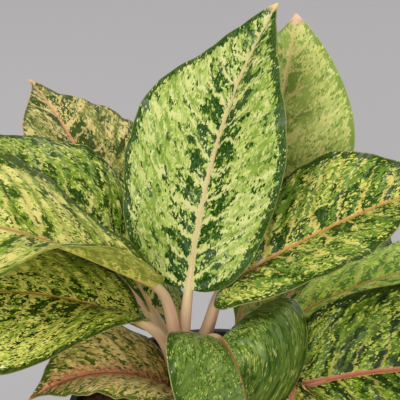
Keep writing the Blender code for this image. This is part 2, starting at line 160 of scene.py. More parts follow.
class Graph:
    """The node tree of one Principled material."""

    def __init__(self, name: str, **constants: float) -> None:
        """Makes the material.

        Args:
            name: the material's name.
            constants: values for the shader's own sockets, by name with _ for each space.
        """
        self.material = bpy.data.materials.new(name)
        self.material.use_nodes = True
        self.tree = self.material.node_tree
        self.shader = self.tree.nodes["Principled BSDF"]
        for key, value in constants.items():
            self.shader.inputs[key.replace("_", " ").title().replace("Ior", "IOR")].default_value = value

    def node(self, kind: str, settings: dict, values: dict, out: Union[int, str] = 0) -> Socket:
        """Adds a node.

        Args:
            kind: the node's type without its ShaderNode prefix.
            settings: its own properties, set first.
            values: a value or link for each input named or numbered here.
            out: which output to give back.

        Returns:
            That output.
        """
        made = self.tree.nodes.new("ShaderNode" + kind)
        for key, value in settings.items():
            setattr(made, key, value)
        for key, value in values.items():
            self.feed(made.inputs[key], value)
        return Socket(self, made.outputs[out])

    def feed(self, end: bpy.types.NodeSocket, value: Feed) -> None:
        """Links a socket to an input, or sets the input.

        Args:
            end: the input.
            value: the socket, number, vector or colour that it gets.
        """
        if isinstance(value, Socket):
            self.tree.links.new(value.end, end)
        elif isinstance(value, tuple) and end.type == "RGBA":
            end.default_value = (*value, 1.0)
        else:
            end.default_value = value

    def maths(self, operation: str, *values: Feed) -> Socket:
        """A Math node on one to three values."""
        return self.node("Math", {"operation": operation}, dict(enumerate(values)))

    def mix(self, share: Feed, first: Feed, second: Feed) -> Socket:
        """A colour between two others, by a share from 0 to 1."""
        return self.node("Mix", {"data_type": "RGBA"}, {0: share, 6: first, 7: second}, 2)

    def rise(self, value: Feed, low: Feed, high: Feed) -> Socket:
        """A smooth step from 0 at low to 1 at high; the other way round where low is above high."""
        settings = {"interpolation_type": "SMOOTHSTEP"}
        return self.node("MapRange", settings, {"Value": value, "From Min": low, "From Max": high})

    def vector(self, x: Feed, y: Feed, z: Feed) -> Socket:
        """A vector of three values."""
        return self.node("CombineXYZ", {}, {0: x, 1: y, 2: z})

    def split(self, name: str) -> list[Socket]:
        """The three parts of a vector that the mesh keeps.

        Args:
            name: the name that it is kept under.

        Returns:
            A socket for each part.
        """
        whole = self.node("Attribute", {"attribute_name": name}, {}, "Vector")
        parts = self.node("SeparateXYZ", {}, {0: whole})
        return [Socket(self, end) for end in parts.end.node.outputs]

    def noise(self, place: Socket, detail: float = 2.0, rough: float = 0.5) -> Socket:
        """Smooth noise of about one feature per unit of place."""
        values = {"Vector": place, "Scale": 1.0, "Detail": detail, "Roughness": rough}
        return self.node("TexNoise", {}, values)

    def object_noise(self, scale: float, detail: float, rough: float) -> Socket:
        """Smooth noise over the object's own place.

        Args:
            scale: about how many features it has to a metre.
            detail: how many finer layers it has.
            rough: how strong they are.

        Returns:
            The noise, about 0.5 in the middle.
        """
        place = self.node("TexCoord", {}, {}, "Object")
        scaled = self.node("VectorMath", {"operation": "SCALE"}, {0: place, "Scale": scale})
        return self.noise(scaled, detail, rough)

    def resized(self, place: Socket, size: Point, shift: float) -> Socket:
        """A place scaled along each axis and moved along Z, which gives noise another pattern."""
        values = {0: place, 1: size, 2: (0.0, 0.0, shift)}
        return self.node("VectorMath", {"operation": "MULTIPLY_ADD"}, values)

    def cells(self, place: Socket, out: str) -> Socket:
        """One output of a flat pattern of cells, about one cell to each unit of place."""
        return self.node("TexVoronoi", {"voronoi_dimensions": "2D"}, {"Vector": place, "Scale": 1.0}, out)

    def chance(self, place: Socket) -> Socket:
        """A number from 0 to 1 that each cell has to itself."""
        return self.node("SeparateColor", {}, {0: self.cells(place, "Color")})

    def finish(self, colour: Feed, rough: Feed, height: Optional[Socket] = None, depth: float = 0.0) -> None:
        """Feeds the shader.

        Args:
            colour: its base colour.
            rough: its roughness.
            height: a relief from 0 to 1, if it has one.
            depth: how deep the relief is.
        """
        self.feed(self.shader.inputs["Base Color"], colour)
        self.feed(self.shader.inputs["Roughness"], rough)
        if height is not None:
            bump = self.node("Bump", {}, {"Height": height, "Distance": depth, "Strength": 1.0})
            self.feed(self.shader.inputs["Normal"], bump)


@dataclass(frozen=True)
class Mark:
    """A kind of mark: its size in cells along and across the side veins, and its shift of the noise."""

    long: float
    wide: float
    shift: float


@dataclass(frozen=True)
class MarkStyle:
    """What all leaves' markings share. A pair that is a size is mm along a side vein, then across it."""

    tone: Mark = Mark(6.5, 2.8, 0.0)  # parts the two greens
    fleck: Mark = Mark(4.5, 2.2, 4.0)  # in fine cells
    patch: Mark = Mark(11.0, 5.0, 9.0)  # the dark patches
    bloom: Mark = Mark(16.0, 5.5, 14.0)  # the broad cream patches
    rough: float = 0.62  # how strong the marks' finer layers are
    spread: float = 0.055  # how widely the noise's values lie round 0.5
    drift: Pair = (22.0, 28.0)  # size of the slow noise that gathers the marks
    wobble: Pair = (4.0, 7.0)  # size of the noise that bends them
    bend: float = 5.0  # how far in mm it bends the cells
    cell: Pair = (0.75, 1.5)  # size of the leaf's cells, which give the marks crisp ragged edges
    cell_shift: Pair = (7.3, 3.7)
    fine_cell: Pair = (0.45, 0.9)
    fine_shift: Pair = (5.1, 9.1)
    vein_gap: float = 8.0  # mm between the bands that streaks run along
    vein_bend: float = 9.0  # how far in mm the wobble bends these bands, and the drift shifts them
    vein_drift: float = 20.0
    dark_blur: float = 0.006  # softness of the dark patches' edges, in noise
    cream_blur: float = 0.01
    halo: Pair = (0.05, 0.035)  # how far under the dark patches' level their halo starts, and is full
    halo_strength: float = 0.75
    border_blur: float = 0.2  # mm
    border_strength: float = 0.95
    streak_width: float = 1.4  # half width in mm at the midrib
    streak_end: Pair = (34.0, 24.0)  # mm from the midrib where streaks are gone, and where they fade from
    rib_foot: float = 16.0  # mm over which the midrib widens at its foot
    tip_start: Pair = (0.955, 0.99)  # share of the length where the tip's colour starts, and is full
    under_strength: float = 0.26  # how far the underside's colour goes over the marks: partly the underside's own paler colour and partly painted light on its shaded, downward-facing side
    ridges: Pair = (8.0, 0.8)  # size of the skin's fine relief
    ridge_depth: float = 0.3 * MM
    bands: Pair = (24.0, 8.0)  # size of the glossy bands
    band_shift: float = 3.0
    band_levels: Pair = (0.46, 0.60)  # noise values where a band starts, and is full
    specular: float = 0.11
    coat_roughness: float = 0.28

    def above(self, cover: float) -> float:
        """The noise value that about this share of a surface lies above."""
        return 0.5 + self.spread * math.log((1.0 - cover) / cover)


MARKS = MarkStyle()


@dataclass(frozen=True)
class Mottle:
    """The marking of one leaf: patches, flecks and dots of greens and creams along its side veins."""

    ground: Colour = srgb(112, 148, 50)
    light: Colour = srgb(166, 184, 88)
    cream: Colour = srgb(216, 206, 122)
    deep: Colour = srgb(34, 72, 18)
    rib: Colour = srgb(214, 176, 124)
    # colour of the pale line along the margin, partly its own colour and partly painted rim light
    edge: Colour = srgb(206, 200, 120)
    tip: Colour = srgb(222, 190, 130)
    # the underside's colour: partly its own paler colour and partly painted light, lightened for the shade
    # on the downward-facing side
    under: Colour = srgb(220, 214, 112)
    blush: Colour = srgb(206, 112, 96)
    light_cover: float = 0.45  # share of the ground in the lighter green
    cream_cover: float = 0.14  # share of the blade in small cream flecks
    bloom_cover: float = 0.10  # share in broad cream patches
    deep_cover: float = 0.10  # share in dark patches, away from midrib and margin
    beside_rib: float = 0.10  # how much denser the dark patches are beside the midrib
    reach: float = 20.0  # how far in mm from the midrib they stay denser
    left_deep_and_shade: float = 0.0  # how much denser they are on the left half than on the right one: partly its own marking and partly painted shade over the half that the lights fall on more strongly
    border: float = 2.6  # width in mm of the dark strip inside the margin
    rib_width: float = 3.6  # mm across, near its foot
    size: float = 1.0  # size of the patches
    stretch: float = 1.0  # how drawn out the marks are
    streaks: float = 0.7  # strength of the cream streaks that start at the midrib
    specks: float = 0.4  # share of the scattered dots that show
    grain: float = 0.5  # how far single cells of the lighter green go towards the cream
    flush: float = 0.0  # strength of the pink beside the midrib
    margin_line_and_rim_light: float = 0.3  # strength of the pale line along the margin: partly its own pale margin and partly painted rim light
    sheen: float = 0.5  # strength of the glossy bands between side veins
    gloss: float = 0.36  # roughness of the upper side
    seed: float = 0.0

    def material(self, name: str) -> bpy.types.Material:
        """Builds the leaf's material under a name."""
        return Marking(self, name).build()


class Marking:
    """The shader of one leaf's marking, read from the places that the leaf's mesh keeps."""

    def __init__(self, look: Mottle, name: str) -> None:
        """Starts the material, and adds the noise and the cells that follow the side veins.

        Args:
            look: the leaf's own marking.
            name: the material's name.
        """
        g = Graph(name, specular_ior_level=MARKS.specular, coat_roughness=MARKS.coat_roughness)
        self.g, self.look = g, look
        self.x, self.y, self.edge = g.split("place")
        self.across, self.share, self.under = g.split("vein")
        self.off = abs(self.x)
        self.drift = g.noise(self.veinwise(MARKS.drift))
        self.wobble = g.noise(self.veinwise(MARKS.wobble), 3.0, 0.6) - 0.5
        self.bent = self.across + self.wobble * MARKS.bend
        coarse, fine = self.grid(MARKS.cell, MARKS.cell_shift), self.grid(MARKS.fine_cell, MARKS.fine_shift)
        self.chance, self.fine_chance = g.chance(coarse), g.chance(fine)
        spot = g.cells(coarse, "Position")
        self.tone = self.mark(spot, MARKS.tone)
        self.patch = self.mark(spot, MARKS.patch, look.size)
        self.bloom = self.mark(spot, MARKS.bloom, look.size)
        self.fleck = self.mark(g.cells(fine, "Position"), MARKS.fleck)
        veins = self.across + self.wobble * MARKS.vein_bend + (self.drift - 0.5) * MARKS.vein_drift
        self.between = g.maths("PINGPONG", veins, MARKS.vein_gap)
        self.dark = self.darkness()
        self.streak = self.streaks()
        self.colour: Feed = look.ground

    def veinwise(self, size: Pair, shift: float = 0.0) -> Socket:
        """A place in units of a size along and across the side veins, moved to its own part of the noise."""
        return self.g.vector(self.off / size[0], self.across / size[1], self.look.seed + shift)

    def grid(self, size: Pair, shift: Pair) -> Socket:
        """A flat place in units of a cell's size, moved by a shift for each step of the seed."""
        x = self.off / size[0] + self.look.seed * shift[0]
        return self.g.vector(x, self.bent / size[1] + self.look.seed * shift[1], 0.0)

    def mark(self, cells: Socket, mark: Mark, size: float = 1.0) -> Socket:
        """Noise with the features of one kind of mark, read at the middle of each place's cell."""
        scale = (1.0 / (mark.long * size * self.look.stretch), 1.0 / (mark.wide * size), 1.0)
        return self.g.noise(self.g.resized(cells, scale, self.look.seed + mark.shift), rough=MARKS.rough)

    def darkness(self) -> Socket:
        """Noise whose high values are the dark patches, denser beside the midrib and, partly as painted
        shade, on the left half.

        Returns:
            The noise.
        """
        g, reach = self.g, self.look.reach
        near = g.rise(self.off, reach, reach * 0.35) * (0.4 + g.rise(self.between, 0.8, 3.0) * 0.6)
        near = near * g.rise(self.share, 1.15, 0.55)
        dark = self.patch + near * self.look.beside_rib - (self.drift - 0.5) * 0.2 - (self.fleck - 0.5) * 0.6
        # denser dark patches on the left half: partly its own marking and partly painted shade
        return dark + self.under * 0.04 + g.rise(self.x, -4.0, 4.0) * self.look.left_deep_and_shade

    def streaks(self) -> Socket:
        """How much of a place is in the streaks that start at the midrib.

        Returns:
            The share.
        """
        width = self.g.rise(self.off, 30.0, 0.0) * MARKS.streak_width + (self.fleck - 0.5) * 6.0
        inside = self.g.rise(self.between, width + 0.2, width - 0.2)
        return inside * self.g.rise(self.off, *MARKS.streak_end)

    def speckled(self, first: Colour, second: Colour) -> Socket:
        """A colour that single fine cells take towards another one."""
        return self.g.mix(self.g.rise(self.fine_chance, 0.4, 1.0) * 0.6, first, second)

    def lay(self, share: Socket, colour: Feed) -> None:
        """Lays a colour over the marks so far, by a share from 0 to 1."""
        self.colour = self.g.mix(share, self.colour, colour)

    def greens(self) -> None:
        """Starts with the two greens, and lays the halo round the dark patches."""
        g, look = self.g, self.look
        darker, lighter = toward(look.ground, look.deep, 0.15), toward(look.ground, look.light, 0.35)
        self.colour = g.mix(self.chance, darker, lighter)
        level = MARKS.above(look.light_cover)
        lit = g.rise(self.tone + (self.drift - 0.5) * 0.4, level - 0.01, level + 0.03)
        self.lay(lit, self.speckled(look.light, toward(look.light, look.cream, look.grain)))
        level = MARKS.above(look.deep_cover)
        halo = g.rise(self.dark, level - MARKS.halo[0], level - MARKS.halo[1])
        self.lay(halo * MARKS.halo_strength, toward(look.deep, look.ground, 0.65))

    def creams(self) -> None:
        """Lays the broad cream patches, then the small flecks."""
        blooms = self.bloom + (self.fleck - 0.5) * 0.35
        flecks = self.fleck + (self.drift - 0.5) * 0.4
        for marks, cover in ((blooms, self.look.bloom_cover), (flecks, self.look.cream_cover)):
            level = MARKS.above(cover)
            creamy = self.g.rise(marks, level, level + MARKS.cream_blur)
            self.lay(creamy * (0.8 + self.chance * 0.2), self.look.cream)

    def warm_marks(self) -> None:
        """Lays the pink beside the midrib and the streaks that start there."""
        look = self.look
        flush = self.g.rise(self.off + (self.fleck - 0.5) * 20.0, look.reach, 0.0)
        self.lay(flush * look.flush, look.blush)
        self.lay(self.streak * look.streaks, toward(look.cream, look.rib, 0.3))

    def darks(self) -> None:
        """Lays the dark patches and the dark strip inside the margin."""
        g, look = self.g, self.look
        shaded = self.speckled(look.deep, toward(look.deep, look.ground, 0.5))
        level = MARKS.above(look.deep_cover)
        self.lay(g.rise(self.dark, level, level + MARKS.dark_blur) * (1.0 - self.streak * 0.8), shaded)
        inset = self.edge + (self.patch - 0.5) * 12.0 + (self.chance - 0.5) * 2.0 + (self.fleck - 0.5) * 8.0
        border = look.border * (1.0 - self.under * 0.6)
        strip = g.rise(inset, border + MARKS.border_blur, border - MARKS.border_blur)
        self.lay(strip * MARKS.border_strength, shaded)

    def dots(self) -> None:
        """Scatters small pale specks and small dark dots."""
        g, look = self.g, self.look
        pale = toward(look.cream, look.light, 0.3)
        for long, wide, share, tone in ((1.1, 1.9, 0.16, pale), (1.5, 2.6, 0.16, look.deep)):
            place = g.vector(self.off / long + look.seed, self.across / wide + look.seed, 0.0)
            pick = g.chance(place)
            inside = g.rise(g.cells(place, "Distance"), 0.22 + pick * 0.14, 0.18 + pick * 0.14)
            least = 1.0 - look.specks * share - (self.drift - 0.5) * 0.8
            self.lay(inside * g.rise(pick, least, least + 0.001), tone)

    def midrib(self) -> None:
        """Lays the midrib, which narrows towards the tip and has ragged sides."""
        g, look = self.g, self.look
        half = (1.0 - self.share * 0.60) * (look.rib_width / 2.0) + g.rise(self.y, MARKS.rib_foot, 0.0)
        ragged = (self.chance - 0.5) * 1.3 + (self.share - 0.3) * (self.fine_chance - 0.4) * 1.6
        band = g.rise(self.off + ragged, half + 0.15, half - 0.15)
        sides = g.rise(self.off / half, 0.2, 1.0) * 0.6
        self.lay(band * 0.95, g.mix(sides, look.rib, toward(look.rib, look.cream, 0.6)))

    def outer(self) -> None:
        """Lays the pale line along the margin, partly painted rim light, the tip's colour and the paler
        underside, partly painted light on its shaded side.
        """
        g, look = self.g, self.look
        # the pale line along the margin: partly the margin's own colour and partly painted rim light
        line = g.rise(self.edge + (self.fine_chance - 0.5) * 0.5, 0.55, 0.3)
        self.lay(line * look.margin_line_and_rim_light, look.edge)
        self.lay(g.rise(self.share, *MARKS.tip_start), look.tip)
        # partly painted light: the underside is lightened beyond its own paler colour to make up for its
        # shade
        self.lay(self.under * MARKS.under_strength, look.under)

    def build(self) -> bpy.types.Material:
        """Lays the marks over each other and feeds the shader.

        Returns:
            The material.
        """
        for step in (
            self.greens, self.creams, self.warm_marks, self.darks, self.dots, self.midrib, self.outer
        ):
            step()
        g, look = self.g, self.look
        bands = g.noise(self.veinwise(MARKS.bands, MARKS.band_shift))
        coat = g.rise(bands, *MARKS.band_levels) * (1.0 - self.under) * look.sheen
        g.feed(g.shader.inputs["Coat Weight"], coat)
        rough = look.gloss + (self.fleck - 0.5) * 0.2 + self.under * 0.15
        ridges = g.noise(self.veinwise(MARKS.ridges)) * 0.6 + self.fleck * 0.4
        g.finish(self.colour, rough, ridges, MARKS.ridge_depth)
        return g.material


@dataclass(frozen=True)
class Skin:
    """The skin of a petiole or cane: cream, blushed along its edges and greener where it is old."""

    cream: Colour = srgb(216, 184, 148)
    blush: Colour = srgb(210, 152, 130)
    green: Colour = srgb(186, 180, 108)
    top: Colour = srgb(204, 184, 120)  # where it runs on under the blade
    greenness: float = 0.15
    rough: float = 0.40
    wing_turn: float = 0.42  # where the sheath's edges run, as a share of half a turn from the upper side
    line_length: float = 60.0  # mm
    fleck_length: float = 7.0  # mm
    relief: float = 0.1 * MM

    def material(self, name: str) -> bpy.types.Material:
        """Builds the skin's material.

        Args:
            name: the material's name.

        Returns:
            The material.
        """
        g = Graph(name, specular_ior_level=0.35)
        share, turn, run = g.split("stalk")
        line = g.noise(g.vector(turn * 5.0, run / self.line_length, 1.0))
        fleck = g.noise(g.vector(turn * 9.0, run / self.fleck_length, 5.0))
        wing = abs(abs(turn) - self.wing_turn)
        layers = (
            (g.rise(line, 0.45, 0.65) * 0.35, self.blush),
            (g.rise(wing, 0.20, 0.02) * 0.5, self.blush),
            (g.rise(fleck, 0.54, 0.66) * self.greenness, self.green),
            (g.rise(share, 0.16, 0.0) * 0.3, self.green),
            (g.rise(share, 0.55, 0.80) * 0.35, self.green),
            (g.rise(share, 0.80, 0.87) * 0.9, self.top),
        )
        colour = self.cream
        for cover, tone in layers:
            colour = g.mix(cover, colour, tone)
        g.finish(colour, self.rough + (line - 0.5) * 0.15, line, self.relief)
        return g.material


@dataclass(frozen=True)
class PotPlastic:
    """Moulded black plastic with a faint grain and a dry film of dust."""

    black: Colour = (0.010, 0.010, 0.011)
    dust: Colour = (0.060, 0.055, 0.048)
    grain_scale: float = 1400.0  # grains to a metre
    film_scale: float = 34.0
    grain_depth: float = 0.06 * MM
    rough: float = 0.36

    def material(self, name: str) -> bpy.types.Material:
        """Builds the plastic, grained by its place on the pot.

        Args:
            name: the material's name.

        Returns:
            The material.
        """
        g = Graph(name, specular_ior_level=0.45)
        grain = g.object_noise(self.grain_scale, 2.0, 0.5)
        film = g.object_noise(self.film_scale, 4.0, 0.65)
        colour = g.mix(g.rise(film, 0.48, 0.8) * 0.5, self.black, self.dust)
        g.finish(colour, self.rough + film * 0.22, grain, self.grain_depth)
        return g.material


@dataclass(frozen=True)
class SoilMix:
    """Dark reddish peat with paler fibres and grit."""

    damp: Colour = srgb(52, 30, 24)
    dry: Colour = srgb(104, 66, 50)
    grit: Colour = srgb(150, 128, 104)
    crumb_scale: float = 420.0  # crumbs to a metre
    clod_scale: float = 90.0
    relief: float = 1.2 * MM
    rough: float = 0.94

    def material(self, name: str) -> bpy.types.Material:
        """Builds the soil's material.

        Args:
            name: the material's name.

        Returns:
            The material.
        """
        g = Graph(name, specular_ior_level=0.2)
        crumb = g.object_noise(self.crumb_scale, 4.0, 0.65)
        clod = g.object_noise(self.clod_scale, 3.0, 0.6)
        colour = g.mix(g.rise(crumb + clod * 0.6, 0.66, 0.98), self.damp, self.dry)
        colour = g.mix(g.rise(crumb, 0.66, 0.72) * 0.5, colour, self.grit)
        g.finish(colour, self.rough, crumb, self.relief)
        return g.material


@dataclass(frozen=True)
class Plain:
    """A plain finish for the floor."""

    colour: Colour
    rough: float

    def material(self, name: str) -> bpy.types.Material:
        """Builds the plain material.

        Args:
            name: the material's name.

        Returns:
            The material.
        """
        g = Graph(name)
        g.finish(self.colour, self.rough)
        return g.material


def mesh_object(
    name: str, points: Iterable, faces: Iterable, material: bpy.types.Material
) -> bpy.types.Object:
    """A smooth mesh object at the origin.

    Args:
        name: the piece's name.
        points: its vertices.
        faces: its faces, as lists of vertex numbers.
        material: its finish.

    Returns:
        The object, linked to the scene.
    """
    mesh = bpy.data.meshes.new(name)
    mesh.from_pydata([tuple(p) for p in points], [], [tuple(f) for f in faces])
    mesh.validate()
    shape = bmesh.new()
    shape.from_mesh(mesh)
    bmesh.ops.recalc_face_normals(shape, faces=shape.faces)
    if shape.calc_volume(signed=True) < 0.0:
        bmesh.ops.reverse_faces(shape, faces=shape.faces)
    shape.to_mesh(mesh)
    shape.free()
    mesh.shade_smooth()
    mesh.materials.append(material)
    return linked(name, mesh)


def linked(name: str, mesh: bpy.types.Mesh) -> bpy.types.Object:
    """An object of a mesh, linked to the scene.

    Args:
        name: its name.
        mesh: its mesh.

    Returns:
        The object.
    """
    made = bpy.data.objects.new(name, mesh)
    bpy.context.scene.collection.objects.link(made)
    return made


def keep(piece: bpy.types.Object, name: str, values: np.ndarray) -> None:
    """Keeps a vector for each vertex of a mesh under a name that shaders read."""
    kept = piece.data.attributes.new(name, "FLOAT_VECTOR", "POINT")
    kept.data.foreach_set("vector", np.ascontiguousarray(values, dtype=np.float32).ravel())


def place_piece(piece: bpy.types.Object, slot: Slot, *nodes: str) -> None:
    """Ties a piece to the plant's body and hides the CAD nodes that it stands for.

    Args:
        piece: the object.
        slot: the record's slot; not used.
        nodes: the CAD nodes.
    """
    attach(piece, "root")
    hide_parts(*nodes)
    log.info("%s: %d faces, for %s", piece.name, len(piece.data.polygons), ", ".join(nodes))


def sheet_faces(rows: int, columns: int, start: int = 0) -> np.ndarray:
    """The quads of a grid of (rows + 1) by (columns + 1) vertices numbered from start."""
    corner = (np.arange(rows)[:, None] * (columns + 1) + np.arange(columns)[None, :]).ravel() + start
    return np.stack([corner, corner + 1, corner + columns + 2, corner + columns + 1], 1)


@dataclass(frozen=True)
class Leaf:
    """One leaf: the CAD blade's own numbers, and its marking."""

    name: str
    shoot: str
    node: float  # share of the cane's length at which its petiole leaves
    base: Point  # start of the blade
    heading: float  # compass direction of the midrib, from +X towards +Y
    rise: float  # slope of the midrib at its start
    length: float
    width: float
    slot: Slot
    mottle: Mottle
    arch: float = 40.0  # how far the slope has fallen at the tip
    sweep: float = 0.0  # how far the heading has turned at the tip
    roll: float = 0.0  # lifts the left half and drops the right one
    fold: Pair = (14.0, 14.0)  # how far each half, left and right, is lifted at its midrib
    opened: Pair = (0.0, 0.0)  # more lift, gained over the stretch of the midrib that turn gives
    turn: Pair = (0.15, 0.70)
    curl: Pair = (30.0, 30.0)  # how far each half bends down from midrib to margin
    lobe: float = 0.35  # how far the blade reaches back past its start
    lean: Pair = (0.42, 0.42)  # how far the veins lean towards the tip, left and right
    wave: float = 0.06  # height of the margin's waves, as a share of the half width
    waves: float = 2.3  # how many it has from foot to tip
    halves: Pair = (1.0, 1.0)  # the left and right half's share of half the width
    widest: Pair = (0.44, 0.44)  # share of the length where each half is widest
    taper: Pair = (1.9, 1.9)  # how quickly each half narrows away from there
    arch_power: float = 1.2  # how late the midrib bends down
    bumps: tuple[tuple[int, float, float, float], ...] = ()  # margin swellings: side, place, spread, share
    bow: float = 0.35  # how early the petiole bends over into the blade
    splay: float = 0.75  # how far the petiole starts out towards its blade, 0 being along the cane
    rib_reach: float = 15.0 * MM  # how far the petiole runs on under the blade

    def midrib(self, t: np.ndarray) -> tuple[np.ndarray, ...]:
        """Points along the midrib, with the direction of growth, the left side and the upper side there.

        Args:
            t: shares of the blade's length.

        Returns:
            Four arrays of vectors.
        """
        steps = 120
        fine = np.linspace(0.0, 1.0, steps + 1)
        rise = np.radians(self.rise - self.arch * fine**self.arch_power)
        heading = np.radians(self.heading + self.sweep * fine)
        along = np.stack([np.cos(heading) * np.cos(rise), np.sin(heading) * np.cos(rise), np.sin(rise)], 1)
        moves = (along[1:] + along[:-1]) * 0.5 * self.length / steps
        points = np.array(self.base) + np.vstack([np.zeros(3), np.cumsum(moves, 0)])
        left = np.stack([-np.sin(heading), np.cos(heading), np.zeros_like(heading)], 1)
        up = np.cross(along, left)
        roll = math.radians(self.roll)
        left, up = left * math.cos(roll) + up * math.sin(roll), up * math.cos(roll) - left * math.sin(roll)
        return tuple(
            np.stack([np.interp(t, fine, values[:, k]) for k in range(3)], -1)
            for values in (points, along, left, up)
        )

    def outline(self, t: np.ndarray, side: np.ndarray) -> np.ndarray:
        """Half width of a half, from a round foot to a drawn-out tip.

        Args:
            t: shares of the length.
            side: 0 for the left half and 1 for the right one, at each.

        Returns:
            The half widths.
        """
        widest, taper = np.choose(side, self.widest), np.choose(side, self.taper)
        foot = (np.maximum(t, 0.0) / widest) ** (taper * widest)
        tip = (np.maximum(1.0 - t, 0.0) / (1.0 - widest)) ** (taper * (1.0 - widest))
        swell = 1.0
        for bump_side, place, spread, share in self.bumps:
            swell = swell + share * np.exp(-(((t - place) / spread) ** 2)) * (side == bump_side)
        return np.choose(side, self.halves) * self.width / 2.0 * foot * tip * swell


@dataclass
class Blade:
    """Builds and dresses one leaf's blade."""

    leaf: Leaf
    rows: int = 132
    columns: int = 68
    row_crowding: float = 1.12
    column_crowding: float = 1.18
    foot_half_width: float = 2.6 * MM
    tip_half_width: float = 0.7 * MM
    curl_half_width: float = 7.0 * MM  # narrower than this, the tip end curls less
    keel_half_width: float = 3.5 * MM
    keel_thickness: float = 3.0 * MM
    keel_tip_thickness: float = 0.9 * MM
    thickness: float = 0.60 * MM
    margin_thickness: float = 0.34 * MM
    vein_curve: float = 1.5
    vein_lean: float = 0.48  # how far a side vein runs forward, as a share of the half width
    vein_bow: float = 0.34  # how much further near the margin, where it bends
    lobe_reach: float = 0.35
    wave_power: float = 2.2  # how strongly the waves keep to the margin
    side_phase: float = 0.37  # how far the right margin's waves are ahead of the left one's, in waves
    channel: float = 0.55 * MM  # depth of the midrib's channel
    channel_half_width: float = 1.9 * MM
    channel_fade: float = 0.7  # share of its depth lost by the tip
    quilting: float = 1.2 * MM  # how far the blade swells between side veins
    quilt_start: float = 2.0 * MM  # how far from the midrib it starts
    quilt_growth: float = 7.0 * MM  # the width over which it grows there
    quilt_end: float = 6.0 * MM  # the width inside the margin over which it fades
    vein_spacing: float = 10.4 * MM
    right_shift: float = 7.0  # how many veins on the right half's marks are read, so that the halves differ
    frill: float = 1.0 * MM  # height of the margin's small waves
    frill_waves: float = 6.3  # how many it has from foot to tip
    frill_phase: float = 0.41  # how far the right margin's are ahead of the left one's, in waves
    finer_waves: float = 13.1
    finer_share: float = 0.35
    frill_half_width: float = 25.0 * MM  # narrower than this, the frill is lower
    sharp_angle: float = 50.0

    def side_veins(self, t: np.ndarray, s: np.ndarray, half: np.ndarray, forward: np.ndarray) -> np.ndarray:
        """Where the side vein through each point leaves the midrib, in metres along it."""
        reach = np.abs(s)
        return self.leaf.length * t + forward - half * (self.vein_lean * reach + self.vein_bow * reach**2)

    def surface(self, t: np.ndarray, s: np.ndarray) -> tuple[np.ndarray, ...]:
        """The blade's upper surface.

        Args:
            t: shares of the length.
            s: places across, from the right margin at -1 to the left one at 1.

        Returns:
            The points, the upward direction square to the blade, the half width and how far the blade is
            drawn forward, at each.
        """
        leaf = self.leaf
        centre, along, left, up = leaf.midrib(t)
        reach = np.abs(s)
        side = np.where(s < 0.0, 1, 0)
        full = leaf.outline(t, side)
        half = full + blend(self.foot_half_width, self.tip_half_width, t)
        turned_by = smoothstep((t - leaf.turn[0]) / (leaf.turn[1] - leaf.turn[0]))
        lifts = [np.radians(leaf.fold[k] + leaf.opened[k] * turned_by) for k in (0, 1)]
        flatter = np.where(t < 0.5, 1.0, np.minimum(half / self.curl_half_width, 1.0))
        bends = [np.radians(leaf.curl[k]) * flatter + 1e-6 for k in (0, 1)]
        lift, bend = np.choose(side, lifts), np.choose(side, bends)
        slope = lift - bend * reach
        across = (np.sin(lift) - np.sin(slope)) / bend * half * np.sign(s)
        height = (np.cos(slope) - np.cos(lift)) / bend * half
        ripple = np.sin(2.0 * math.pi * (leaf.waves * t + self.side_phase * side))
        height = height + leaf.wave * full * reach**self.wave_power * ripple
        lean = blend(-leaf.lobe, np.choose(side, leaf.lean), smoothstep(t / self.lobe_reach))
        forward = lean * full * reach**self.vein_curve
        points = centre + along * forward[..., None] + left * across[..., None] + up * height[..., None]
        leftness = smoothstep(0.5 + s * half / (2.0 * self.keel_half_width))
        tilt = blend(bends[1] * reach - lifts[1], lifts[0] - bends[0] * reach, leftness)
        upward = up * np.cos(tilt)[..., None] - left * np.sin(tilt)[..., None]
        return points, upward, half, forward

    def relief(self, t: np.ndarray, s: np.ndarray, half: np.ndarray, veins: np.ndarray) -> np.ndarray:
        """Height of the quilting, the midrib's channel and the margin's small waves over the CAD surface.

        Args:
            t: shares of the length.
            s: places across.
            half: half widths.
            veins: where the side vein through each point leaves the midrib.

        Returns:
            The heights.
        """
        reach = np.abs(s)
        off = reach * half
        inner = smoothstep((off - self.quilt_start) / self.quilt_growth)
        outer = smoothstep((1.0 - reach) * half / self.quilt_end)
        beat = np.sin(math.pi * veins / self.vein_spacing) ** 2
        quilt = self.quilting * inner * outer * (beat - 0.5)
        depth = self.channel * (1.0 - self.channel_fade * t)
        channel = depth * np.exp(-((off / self.channel_half_width) ** 2))
        edge = np.sin(2.0 * math.pi * (self.frill_waves * t + np.where(s < 0.0, self.frill_phase, 0.0)))
        finer = np.sin(2.0 * math.pi * (self.finer_waves * t + 0.3 + self.leaf.heading))
        fade = np.minimum(half / self.frill_half_width, 1.0) * reach**5
        return quilt - channel + self.frill * fade * (edge + self.finer_share * finer)

